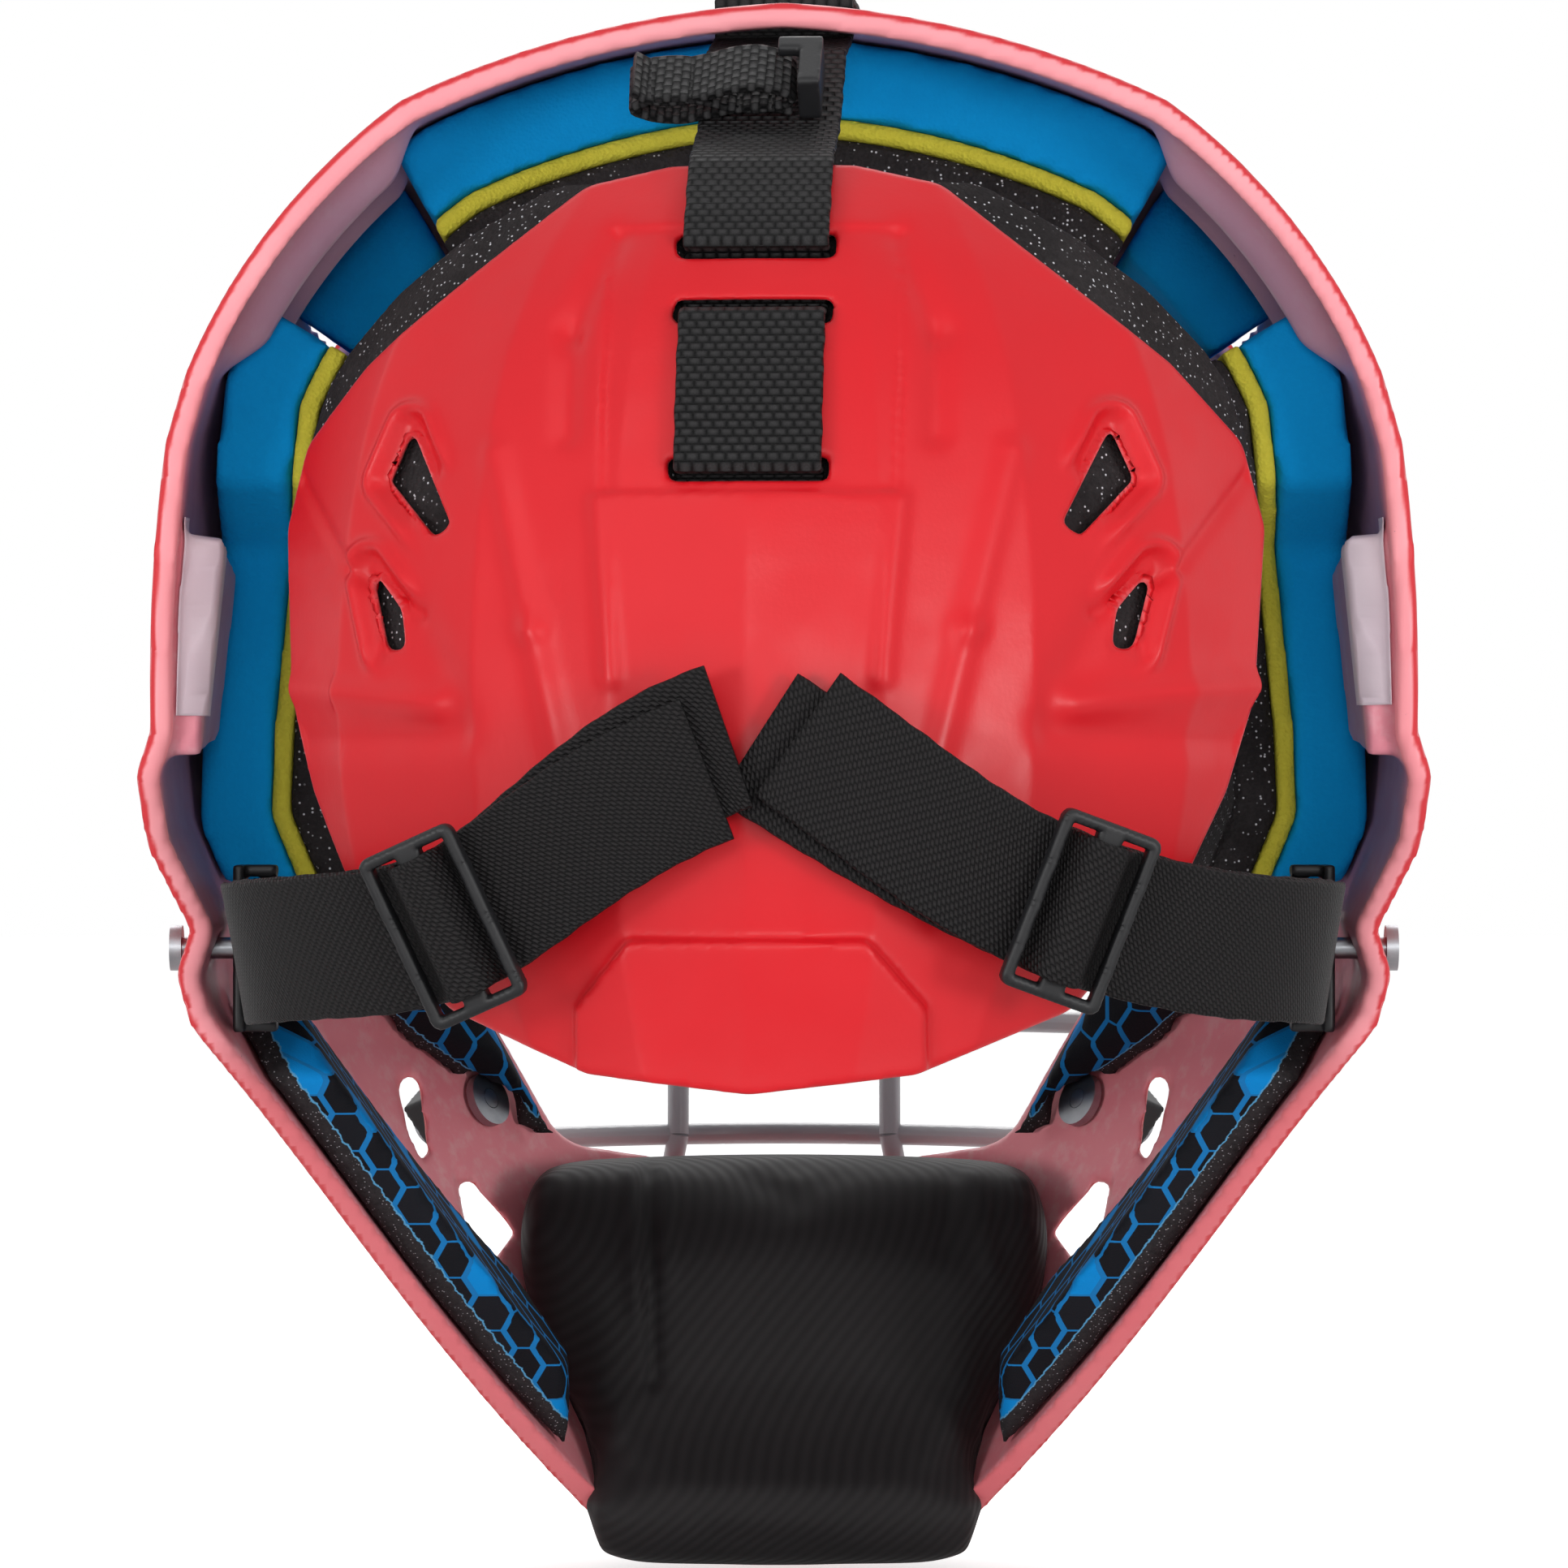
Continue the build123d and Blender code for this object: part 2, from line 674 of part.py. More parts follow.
with BuildPart() as rear_plate:
    add(plate_outer)
    add(plate_lip.part)
    add(plate_inner, mode=Mode.SUBTRACT)
    add(plate_edge, mode=Mode.INTERSECT)
    add(tray.part, mode=Mode.SUBTRACT)
    for level in slot_levels:
        with Locations((0, plate_rear, level)):
            Box(plate_slot_width, 2 * plate_rear, plate_slot_height, mode=Mode.SUBTRACT)
    for vent in plate_vents:
        add(vent, mode=Mode.SUBTRACT)
save_piece(turned(rear_plate.part), "rear_plate")

with BuildPart() as liner_channel:
    add(liner_outer)
    add(channel_floor, mode=Mode.SUBTRACT)
    with Locations((0, plate_rear, (slot_levels[0] + slot_levels[2]) / 2)):
        Box(
            plate_slot_width + 2 * slot_clearance,
            2 * plate_rear,
            slot_levels[0] - slot_levels[2] + 8 * plate_slot_height,
            mode=Mode.INTERSECT,
        )

with BuildPart() as rear_liner:
    add(liner_outer)
    add(liner_inner, mode=Mode.SUBTRACT)
    add(liner_edge, mode=Mode.INTERSECT)
    add(liner_channel.part, mode=Mode.SUBTRACT)
save_piece(turned(rear_liner.part), "rear_liner")


# Flat straps. A ribbon is a row of thin oblong sections along its route.
def ribbon(stations, width, thickness):
    """A strap through stations of a point, its direction and its width's direction."""
    with BuildPart() as strap:
        for point, heading, across in stations:
            with BuildSketch(Plane(point, x_dir=across, z_dir=heading)):
                Rectangle(width, thickness)
        loft(ruled=True)
    return strap.part


def ribbon_stations(points, acrosses):
    """Stations at the points of a route, each heading halfway between its neighbours."""
    stations = []
    for i, point in enumerate(points):
        before, after = points[max(i - 1, 0)], points[min(i + 1, len(points) - 1)]
        heading = (after - before).normalized()
        across = acrosses[i] - heading * acrosses[i].dot(heading)
        stations.append((point, heading, across.normalized()))
    return stations


# The crown strap, in side view. It is screwed down over the crown, drops through its slot
# and runs down the plate, in and out of the three slots.
crown_skin_gap = 0.3
strap_rise = crown_skin_gap + webbing_thickness / 2
strap_end_margin = 11.0
strap_bend = 1.6
plate_strap_gap = 0.35
outside_offset = plate_strap_gap + webbing_thickness / 2
inside_offset = plate_wall + plate_strap_gap + webbing_thickness / 2 + plate_hollow
tray_offset = outside_offset - tray_depth
strap_tail = 9.0
# Where the strap bends between its slot and the plate, as shares of the way back and down.
span_shares = [(0.35, 0.17), (0.66, 0.72)]


def crown_top(y):
    """How high the shell's outer face stands at a place along."""
    hits = outer_form.find_intersection_points(Axis((0, y, 0), (0, 0, 1)))
    return max(point.Z for point, _ in hits)


slot_top, slot_middle, slot_low = slot_levels
crown_y = along(section_shares[1][0])
strap_over = [
    (strap_screw_y - strap_end_margin, crown_top(strap_screw_y - strap_end_margin) + strap_rise),
    (strap_screw_y, crown_top(strap_screw_y) + strap_rise),
    (crown_y, crown_top(crown_y) + strap_rise),
    (strap_slot_y, crown_top(strap_slot_y) + strap_rise),
    (strap_slot_y, crown_top(strap_slot_y) - shell_wall - 2 * strap_rise),
]
plate_top_z = plate_z(plate_outline_shares[0][1])
strap_down = [
    (plate_back(0, slot_top) + tray_offset, slot_top),
    (plate_back(0, slot_top) - inside_offset, slot_top),
    (plate_back(0, slot_middle) - inside_offset, slot_middle),
    (plate_back(0, slot_middle) + tray_offset, slot_middle),
    (plate_back(0, (slot_middle + slot_low) / 2) + tray_offset, (slot_middle + slot_low) / 2),
    (plate_back(0, slot_low) + tray_offset, slot_low),
    (plate_back(0, slot_low) - inside_offset, slot_low),
    (plate_back(0, slot_low - strap_tail) - inside_offset, slot_low - strap_tail),
]
plate_entry = (plate_back(0, plate_top_z - webbing_thickness) + 2 * outside_offset, plate_top_z)
strap_span = [
    (
        strap_over[-1][0] + share * (plate_entry[0] - strap_over[-1][0]),
        strap_over[-1][1] + drop * (plate_entry[1] - strap_over[-1][1]),
    )
    for share, drop in span_shares
]
tray_edge_z = slot_top + 1.5 * plate_slot_height
tray_edge = (plate_back(0, tray_edge_z) + outside_offset + plate_strap_gap, tray_edge_z)
strap_route = strap_over + strap_span + [plate_entry, tray_edge] + strap_down
with BuildPart() as crown_strap:
    with BuildSketch(Plane.YZ.offset(-webbing_width / 2)):
        with BuildLine() as route:
            FilletPolyline(*strap_route, radius=strap_bend / 2)
        trace(route.line, line_width=webbing_thickness)
    extrude(amount=webbing_width)
with BuildPart() as screwed_strap:
    add(turned(crown_strap.part))
    with Locations((0, strap_screw_y, crown_rise)):
        Cylinder(nut_bore / 2, overrun, mode=Mode.SUBTRACT)
save_piece(screwed_strap.part, "crown_strap")

# The screw and washer head on the crown, and the nut under it.
crown_head_radius = 7.0
head_seat_z = crown_top(strap_screw_y) + crown_skin_gap + webbing_thickness + fixing_gap
under_crown_z = crown_top(strap_screw_y) - shell_wall - 2 * fixing_gap
with BuildPart() as crown_screw:
    with Locations((0, strap_screw_y, head_seat_z + screw_head_height / 2)):
        Cylinder(crown_head_radius, screw_head_height)
    fillet(edges().group_by(Axis.Z)[-1], screw_head_height / 2)
    with Locations((0, strap_screw_y, (head_seat_z + under_crown_z - nut_thickness) / 2)):
        Cylinder(screw_radius, head_seat_z - under_crown_z + nut_thickness)
save_piece(crown_screw.part, "crown_screw")
with BuildPart() as crown_nut:
    with Locations((0, strap_screw_y, under_crown_z - nut_thickness / 2)):
        Cylinder(nut_radius, nut_thickness)
        Cylinder(nut_bore / 2, nut_thickness, mode=Mode.SUBTRACT)
save_piece(crown_nut.part, "crown_nut")

# The crown strap's free tail, folded flat on it, and the hook beside the fold.
keeper_width, keeper_height, keeper_depth = 30.0, 14.0, 6.0
keeper_fold_radius = 2.2
keeper_shift = 10.0
keeper_place_share = 0.66
hook_thickness, hook_width, hook_lip = 2.4, 4.0, 8.0
span_start, span_end = Vector(0, *strap_span[0]), Vector(0, *strap_span[1])
span_heading = (span_end - span_start).normalized()
span_outward = Vector(1, 0, 0).cross(span_heading)
keeper_seat = span_start + (span_end - span_start) * keeper_place_share
keeper_middle = keeper_seat + span_outward * outside_offset + Vector(keeper_shift, 0, 0)
keeper_plane = Plane(keeper_middle, x_dir=(1, 0, 0), z_dir=span_outward)
with BuildPart() as strap_keeper:
    with BuildSketch(Plane(keeper_middle, x_dir=span_heading, z_dir=(1, 0, 0))):
        with Locations((0, keeper_depth / 2)):
            RectangleRounded(keeper_height, keeper_depth, keeper_fold_radius)
    extrude(amount=keeper_width / 2, both=True)
save_piece(turned(strap_keeper.part), "strap_keeper")

hook_x = -(keeper_width + hook_width) / 2 - plate_strap_gap
hook_depth = keeper_depth + hook_thickness + plate_strap_gap
lip_x, lip_y = hook_x + (hook_lip - hook_width) / 2, (hook_width - keeper_height) / 2
with BuildPart(keeper_plane) as strap_hook:
    with Locations((hook_x, 0, hook_depth / 2)):
        Box(hook_width, keeper_height, hook_depth)
    with Locations((lip_x, lip_y, hook_depth - hook_thickness / 2)):
        Box(hook_lip, hook_width, hook_thickness)
    fillet(edges().filter_by(Axis.X), hook_thickness / 3)
save_piece(turned(strap_hook.part), "strap_hook")

# The elastic side straps. Each runs from the middle of the plate out past its edge to a bar
# inside the shell, goes round it and comes back through a buckle to a loose tail.
elastic_width = 25.4
elastic_thickness = 1.4
elastic_gap = 0.5
patch_thickness = 1.0
patch_rise = crown_skin_gap + patch_thickness + elastic_gap + elastic_thickness / 2
pair_gap = elastic_thickness + elastic_gap
elastic_lift = {1: 2 * pair_gap, -1: 0}
elastic_count = 26
# Places across, behind the head's middle and up, as shares of half the width, the crown's
# reach and the heights, and how far the strap's width leans from upright.
elastic_shares = [
    (0.02, 0, -0.095, 31),
    (0.25, -0.045, -0.19, 31),
    (0.48, -0.19, -0.277, 31),
    (0.67, -0.42, -0.303, 23),
    (0.78, -0.75, -0.31, 10),
    (0.81, -1.25, -0.316, 3),
    (0.785, -2.277, -0.318, 0),
]
# How much of the lift over the other strap each place keeps.
lift_shares = [1, 0.9, 0.35, 0, 0, 0, 0]
buckle_place_share = 0.325
bar_radius = 1.5
turn_steps = 8
# From here on the strap's two layers part, up to the bar.
opening_share = 0.75
# The stretch by the buckle that has stations of its own, as a share of its half length.
clear_share = 1.5
turn_radius = bar_radius + 2 * elastic_gap + elastic_thickness / 2
tail_share = 0.03
tail_drift = 4.0
buckle_length, buckle_width, buckle_thickness = 31.4, 18.0, 2.2
buckle_rail, buckle_bar = 1.5, 4.0
buckle_gap = 1.5
buckle_height = pair_gap + elastic_thickness / 2 + buckle_gap + buckle_thickness / 2
bar_lift = buckle_height + buckle_thickness / 2 + buckle_gap + elastic_thickness / 2
rise_length = 4.6


def smooth_step(value):
    value = min(max(value, 0), 1)
    return value * value * (3 - 2 * value)


def elastic_route(side):
    """The middle line of one strap's inner layer, as an edge."""
    back = plate_back(0, height(elastic_shares[0][2])) + patch_rise
    points = []
    for (x, y, z, _), lift in zip(elastic_shares, lift_shares):
        place = (side * x * half_width, back + y * crown_reach + elastic_lift[side] * lift, height(z))
        points.append(turned_point(*place) if lift > lift_shares[2] else Vector(*place))
    return Edge.make_spline(points)


def elastic_frame(route, side, share):
    """A point on the route, its direction, its outward side and its width's direction."""
    place = share * (len(elastic_shares) - 1)
    i = min(int(place), len(elastic_shares) - 2)
    lean = elastic_shares[i][3] + (place - i) * (elastic_shares[i + 1][3] - elastic_shares[i][3])
    point, heading = route @ share, route % share
    upright = Vector(side * sin(radians(lean)), 0, cos(radians(lean)))
    across = (upright - heading * upright.dot(heading)).normalized()
    outward = heading.cross(across) * -side
    return point, heading, outward.normalized(), across


def elastic_strap(side):
    route = elastic_route(side)
    length = route.length
    points, acrosses = [], []
    for i in range(elastic_count + 1):
        point, _, _, across = elastic_frame(route, side, i / elastic_count)
        points.append(point)
        acrosses.append(across)
    end, heading, outward, across = elastic_frame(route, side, 1)
    for step in range(1, turn_steps):
        angle = radians(180 * step / turn_steps)
        points.append(end + (outward * (1 - cos(angle)) + heading * sin(angle)) * turn_radius)
        acrosses.append(across)
    returns = [1 - i / elastic_count for i in range(elastic_count)]
    ramps = [buckle_bar / 2, buckle_bar / 2 + rise_length]
    over_bar = [buckle_place_share + sign * ramps[0] / length for sign in (1, -1)]
    beside_bar = [buckle_place_share + sign * ramps[1] / length for sign in (1, -1)]
    clear = clear_share * ramps[1] / length
    returns = [share for share in returns if abs(share - buckle_place_share) > clear and share >= tail_share]
    _, _, bar_outward, bar_across = elastic_frame(route, side, buckle_place_share)
    for share in sorted(returns + over_bar + beside_bar, reverse=True):
        point, _, outward, across = elastic_frame(route, side, share)
        if share in over_bar + beside_bar:
            outward, across = bar_outward, bar_across
        opening = smooth_step((share - opening_share) / (1 - opening_share))
        lift = bar_lift if share in over_bar else pair_gap + (2 * turn_radius - pair_gap) * opening
        drift = tail_drift * smooth_step((beside_bar[1] - share) / beside_bar[1])
        points.append(point + outward * lift - across * side * drift)
        acrosses.append(across)
    return ribbon(ribbon_stations(points, acrosses), elastic_width, elastic_thickness)


def buckle_plane(side):
    point, heading, outward, across = elastic_frame(elastic_route(side), side, buckle_place_share)
    return Plane(point + outward * buckle_height, x_dir=across, z_dir=outward)


slot_open = (buckle_width - buckle_bar) / 2 - buckle_rail
slot_centre = (buckle_bar + slot_open) / 2
for side, hand in ((1, "left"), (-1, "right")):
    save_piece(elastic_strap(side), f"{hand}_side_strap")

    with BuildPart() as side_buckle:
        with BuildSketch(buckle_plane(side)):
            RectangleRounded(buckle_length, buckle_width, buckle_rail)
            with Locations((0, slot_centre), (0, -slot_centre)):
                Rectangle(buckle_length - 2 * buckle_rail, slot_open, mode=Mode.SUBTRACT)
        extrude(amount=buckle_thickness / 2, both=True)
    save_piece(side_buckle.part, f"{hand}_buckle")

# A patch of hook tape on the plate, to which the two straps hold. Its arms lie under them.
patch_arm_length, patch_arm_width, patch_inset = 22.0, 20.0, 2.0
patch_lean = elastic_shares[0][3]
patch_along = patch_inset + patch_arm_length / 2
patch_x = elastic_shares[0][0] * half_width + patch_along * cos(radians(patch_lean))
patch_z = height(elastic_shares[0][2]) - patch_along * sin(radians(patch_lean))
patch_inner = plate_form(-crown_skin_gap)
patch_outer = plate_form(-crown_skin_gap - patch_thickness)
with BuildPart() as patch_arms:
    with BuildSketch(Plane.XZ.offset(-plate_rear)):
        for side in (1, -1):
            with Locations((side * patch_x, patch_z)):
                Rectangle(patch_arm_length, patch_arm_width, rotation=-side * patch_lean)
    extrude(amount=plate_rear / 2)
with BuildPart() as strap_patch:
    add(patch_outer)
    add(patch_inner, mode=Mode.SUBTRACT)
    add(patch_arms.part, mode=Mode.INTERSECT)
save_piece(turned(strap_patch.part), "strap_patch")

# The bracket that carries the side strap's bar, screwed through the shell's side.
anchor_base, anchor_post, anchor_length = 2.0, 2.2, 12.0
slant_gap = 1.7
bar_x = elastic_shares[-1][0] * half_width + turn_radius
bar_y = (elastic_route(1) @ 1).Y
post_shift = (elastic_width + anchor_post) / 2 + slot_clearance / 2
base_x = bar_x + turn_radius + elastic_thickness / 2 + elastic_gap
with BuildPart() as strap_anchor:
    with Locations((bar_x, bar_y, anchor_z)):
        Cylinder(bar_radius, 2 * post_shift)
    with Locations((base_x + anchor_base / 2, bar_y, anchor_z)):
        Box(anchor_base, anchor_length, 2 * post_shift + anchor_post)
    for end in (1, -1):
        with Locations(((bar_x + base_x) / 2, bar_y, anchor_z + end * post_shift)):
            Box(base_x - bar_x + 2 * bar_radius, anchor_length / 2, anchor_post)
    with Locations((base_x + anchor_base / 2, anchor_y, anchor_z)):
        Cylinder(nut_bore / 2, anchor_base, rotation=(0, 90, 0), mode=Mode.SUBTRACT)
two_sided(strap_anchor.part, "strap_anchor")

shell_side, _ = line_hit(outer_form, Vector(shell_width, anchor_y, anchor_z), Vector(-1, 0, 0))
side_head_x = shell_side.X + slant_gap + screw_head_height / 2
with BuildPart() as anchor_screws:
    for side in (1, -1):
        with Locations((side * side_head_x, anchor_y, anchor_z)):
            Cylinder(screw_head_radius, screw_head_height, rotation=(0, 90, 0))
        with Locations((side * (side_head_x + base_x) / 2, anchor_y, anchor_z)):
            Cylinder(screw_radius, side_head_x - base_x, rotation=(0, 90, 0))
save_piece(anchor_screws.part, "anchor_screws")

# Face cage. Cross wires run from edge to edge, bowed forward; uprights join them.
cage_reach = 160.0
bow_across, bow_up = 115.0, 500.0
bow_middle_share = -0.32
cross_places = [3, 5, 6, 7, 8]
side_upright_x = 50.0
cross_radius = 2.2
edge_weld, upright_weld = Vector(0, -1.4, 0), Vector(0, 1.7, 0)
foot_place, foot_out, foot_forward = 10, 1.3, 1.9


def cage_front(x, z):
    """A point on the bowed face in which the wires lie."""
    back = x * x / bow_across + (z - height(bow_middle_share)) ** 2 / bow_up
    return Vector(x, back - cage_reach, z)


def swept_wire(points, radius, **ends):
    """A round wire along a curve through the points."""
    with BuildPart() as wire:
        with BuildLine() as route:
            Spline(*points, **ends)
        with BuildSketch(Plane(route.line @ 0, z_dir=route.line % 0)):
            Circle(radius)
        sweep()
    return wire.part


levels = [cage_loop[place].Z for place in cross_places]
half_edge = swept_wire(cage_edge, wire_radius, tangents=edge_ends)
other_edge = mirror(half_edge, about=Plane.YZ)
cage_wires = []
for place, level in zip(cross_places, levels):
    half = cage_loop[place].X / 2
    middles = [cage_front(x, level) for x in (half, 0, -half)]
    ends = [cage_loop[place] + edge_weld, cage_loop[-place] + edge_weld]
    cage_wires.append(swept_wire([ends[0], *middles, ends[1]], cross_radius))
for side in (1, -1):
    x = side * upright_share * half_width
    places = [cage_front(x, (levels[0] + cage_loop[0].Z) / 2), cage_front(x, levels[0])]
    brow_points = [cage_loop[side] + edge_weld] + [place + upright_weld for place in places]
    cage_wires.append(swept_wire(brow_points, cross_radius))
    long_points = [cage_front(x, level) + upright_weld for level in levels[1:]]
    cage_wires.append(swept_wire(long_points, cross_radius))
    foot = cage_loop[side * foot_place] + Vector(side * foot_out, -foot_forward, 0)
    cage_wires.append(swept_wire([long_points[-1], foot], cross_radius))
    side_points_up = [cage_front(side * side_upright_x, level) + upright_weld for level in levels[1:4]]
    cage_wires.append(swept_wire(side_points_up, cross_radius))
with BuildPart() as face_cage:
    add(half_edge)
    add(other_edge)
    for wire in cage_wires:
        add(wire)
save_piece(face_cage.part, "face_cage")

clip_base, clip_channel_gap = 9.0, 1.1
clip_middle = clip_width / 2 - wire_radius - clip_cover
clip_top = wire_radius + clip_cover
clip_seat = head_form(-fixing_gap, all_corners)

channel = wire_radius + clip_channel_gap
with BuildPart() as cage_clips:
    with Locations(*clip_planes):
        with Locations((0, clip_middle, (clip_top - clip_base) / 2)):
            Box(clip_length, clip_width, clip_top + clip_base)
        with Locations((0, 0, (channel - clip_base) / 2)):
            Box(clip_length, 2 * channel, channel + clip_base, mode=Mode.SUBTRACT)
        with Locations((0, clip_screw_offset, 0)):
            Cylinder(nut_bore / 2, overrun, mode=Mode.SUBTRACT)
    add(clip_seat, mode=Mode.SUBTRACT)
save_piece(cage_clips.part, "cage_clips")

with BuildPart() as cage_screws:
    for plane, nut_plane in zip(screw_planes, nut_planes):
        reach = (plane.origin - nut_plane.origin).length + nut_gap + nut_thickness
        with Locations(plane):
            with Locations((0, 0, fixing_gap + screw_head_height / 2)):
                Cylinder(screw_head_radius, screw_head_height)
            with Locations((0, 0, (fixing_gap - reach) / 2)):
                Cylinder(screw_radius, reach + fixing_gap)
save_piece(cage_screws.part, "cage_screws")

with BuildPart() as cage_nuts:
    for plane in nut_planes:
        with Locations(plane):
            with Locations((0, 0, -nut_gap - nut_thickness / 2)):
                Cylinder(nut_radius, nut_thickness)
                Cylinder(nut_bore / 2, nut_thickness, mode=Mode.SUBTRACT)
save_piece(cage_nuts.part, "cage_nuts")
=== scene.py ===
import json
import math

import bpy
import numpy as np
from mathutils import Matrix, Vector
from mathutils.bvhtree import BVHTree


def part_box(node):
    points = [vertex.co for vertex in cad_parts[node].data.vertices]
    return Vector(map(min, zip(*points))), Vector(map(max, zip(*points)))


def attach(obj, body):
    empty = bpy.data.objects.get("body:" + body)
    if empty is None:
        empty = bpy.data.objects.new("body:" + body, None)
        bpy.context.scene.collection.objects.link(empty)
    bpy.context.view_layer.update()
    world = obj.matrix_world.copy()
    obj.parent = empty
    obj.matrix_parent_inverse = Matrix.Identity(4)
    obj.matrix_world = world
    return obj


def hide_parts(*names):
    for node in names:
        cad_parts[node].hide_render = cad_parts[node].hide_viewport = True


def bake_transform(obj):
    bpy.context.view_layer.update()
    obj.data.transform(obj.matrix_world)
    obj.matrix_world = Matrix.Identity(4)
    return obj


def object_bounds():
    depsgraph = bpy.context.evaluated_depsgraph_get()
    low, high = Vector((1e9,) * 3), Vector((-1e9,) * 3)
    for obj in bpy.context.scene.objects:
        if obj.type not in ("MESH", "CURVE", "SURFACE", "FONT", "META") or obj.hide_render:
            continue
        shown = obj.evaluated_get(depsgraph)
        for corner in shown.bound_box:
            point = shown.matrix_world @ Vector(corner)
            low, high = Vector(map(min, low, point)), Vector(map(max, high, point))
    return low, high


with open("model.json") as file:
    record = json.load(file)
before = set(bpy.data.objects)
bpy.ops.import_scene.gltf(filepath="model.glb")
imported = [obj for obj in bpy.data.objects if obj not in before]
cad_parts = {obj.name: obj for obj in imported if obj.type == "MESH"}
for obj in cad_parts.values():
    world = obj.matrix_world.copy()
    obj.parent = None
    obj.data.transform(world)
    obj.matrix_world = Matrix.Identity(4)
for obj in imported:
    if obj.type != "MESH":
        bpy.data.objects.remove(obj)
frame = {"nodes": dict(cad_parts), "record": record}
cad_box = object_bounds()

MM = 0.001
record = frame["record"]
body_of = {}
for body, names in record["behaviour"]["bodies"].items():
    for node_name in names:
        body_of[node_name] = body
slot_of = {entry["node"]: entry["material_slot"] for entry in record["subparts"]}

# Materials

# How strongly the painted shade on the inner wall, the painted shade in its grooves and the scuffs
# show.
SHADE_SHARE, GROOVE_SHADE_SHARE, SCUFF_SHARE = 0.85, 0.8, 0.7


def linear(hex_colour):
    """A colour written as sRGB, as the linear value that a shader takes."""
    channels = [int(hex_colour[i:i + 2], 16) / 255 for i in (0, 2, 4)]
    return [c / 12.92 if c <= 0.04045 else ((c + 0.055) / 1.055) ** 2.4 for c in channels] + [1]


def node(tree, kind, inputs=None, output=0, **settings):
    """Adds a node, sets or links its inputs, and gives one of its outputs."""
    made = tree.nodes.new(kind)
    for name, value in settings.items():
        setattr(made, name, value)
    for name, value in (inputs or {}).items():
        if isinstance(value, bpy.types.NodeSocket):
            tree.links.new(value, made.inputs[name])
        else:
            made.inputs[name].default_value = value
    return made.outputs[output]


def maths(tree, operation, a, b=0.0, c=0.0):
    return node(tree, "ShaderNodeMath", {0: a, 1: b, 2: c}, operation=operation)


def blend_colours(tree, share, a, b):
    return node(tree, "ShaderNodeMix", {0: share, 6: a, 7: b}, 2, data_type="RGBA")


def fade(tree, value, low, high, to_low=0.0, to_high=1.0):
    """Takes values from low to high over to the range that follows, softly at both ends."""
    sockets = {0: value, 1: low, 2: high, 3: to_low, 4: to_high}
    return node(tree, "ShaderNodeMapRange", sockets, interpolation_type="SMOOTHSTEP")


def noise(tree, place, size_mm, detail=2.0, roughness=0.5):
    """Cloudy variation from 0 to 1 whose lumps are about one size."""
    scale = 1 / (size_mm * MM)
    sockets = {"Vector": place, "Scale": scale, "Detail": detail, "Roughness": roughness}
    return node(tree, "ShaderNodeTexNoise", sockets)


def bump(tree, height, depth_mm):
    sockets = {"Height": height, "Distance": depth_mm * MM, "Strength": 1.0}
    return node(tree, "ShaderNodeBump", sockets)


def cells_of(tree, place, size_mm, output=0):
    """Cells of about one size: the distance from a cell's middle or, as output 1, its colour."""
    sockets = {"Vector": place, "Scale": 1 / (size_mm * MM)}
    return node(tree, "ShaderNodeTexVoronoi", sockets, output)


def attribute(tree, name):
    return node(tree, "ShaderNodeAttribute", None, 2, attribute_name=name)


def new_material(name, roughness, ior=1.5, **sockets):
    """A material with its shader's plain values set, its tree, and where it is measured."""
    material = bpy.data.materials.new(name)
    material.use_nodes = True
    tree = material.node_tree
    shader = tree.nodes["Principled BSDF"]
    shader.inputs["Roughness"].default_value = roughness
    shader.inputs["IOR"].default_value = ior
    for socket, value in sockets.items():
        shader.inputs[socket.replace("_", " ")].default_value = value
    place = node(tree, "ShaderNodeTexCoord", None, 3)
    return material, tree, shader, place


def finish_material(tree, shader, colour, normal=None, roughness=None):
    tree.links.new(colour, shader.inputs["Base Color"])
    if normal is not None:
        tree.links.new(normal, shader.inputs["Normal"])
    if roughness is not None:
        tree.links.new(roughness, shader.inputs["Roughness"])


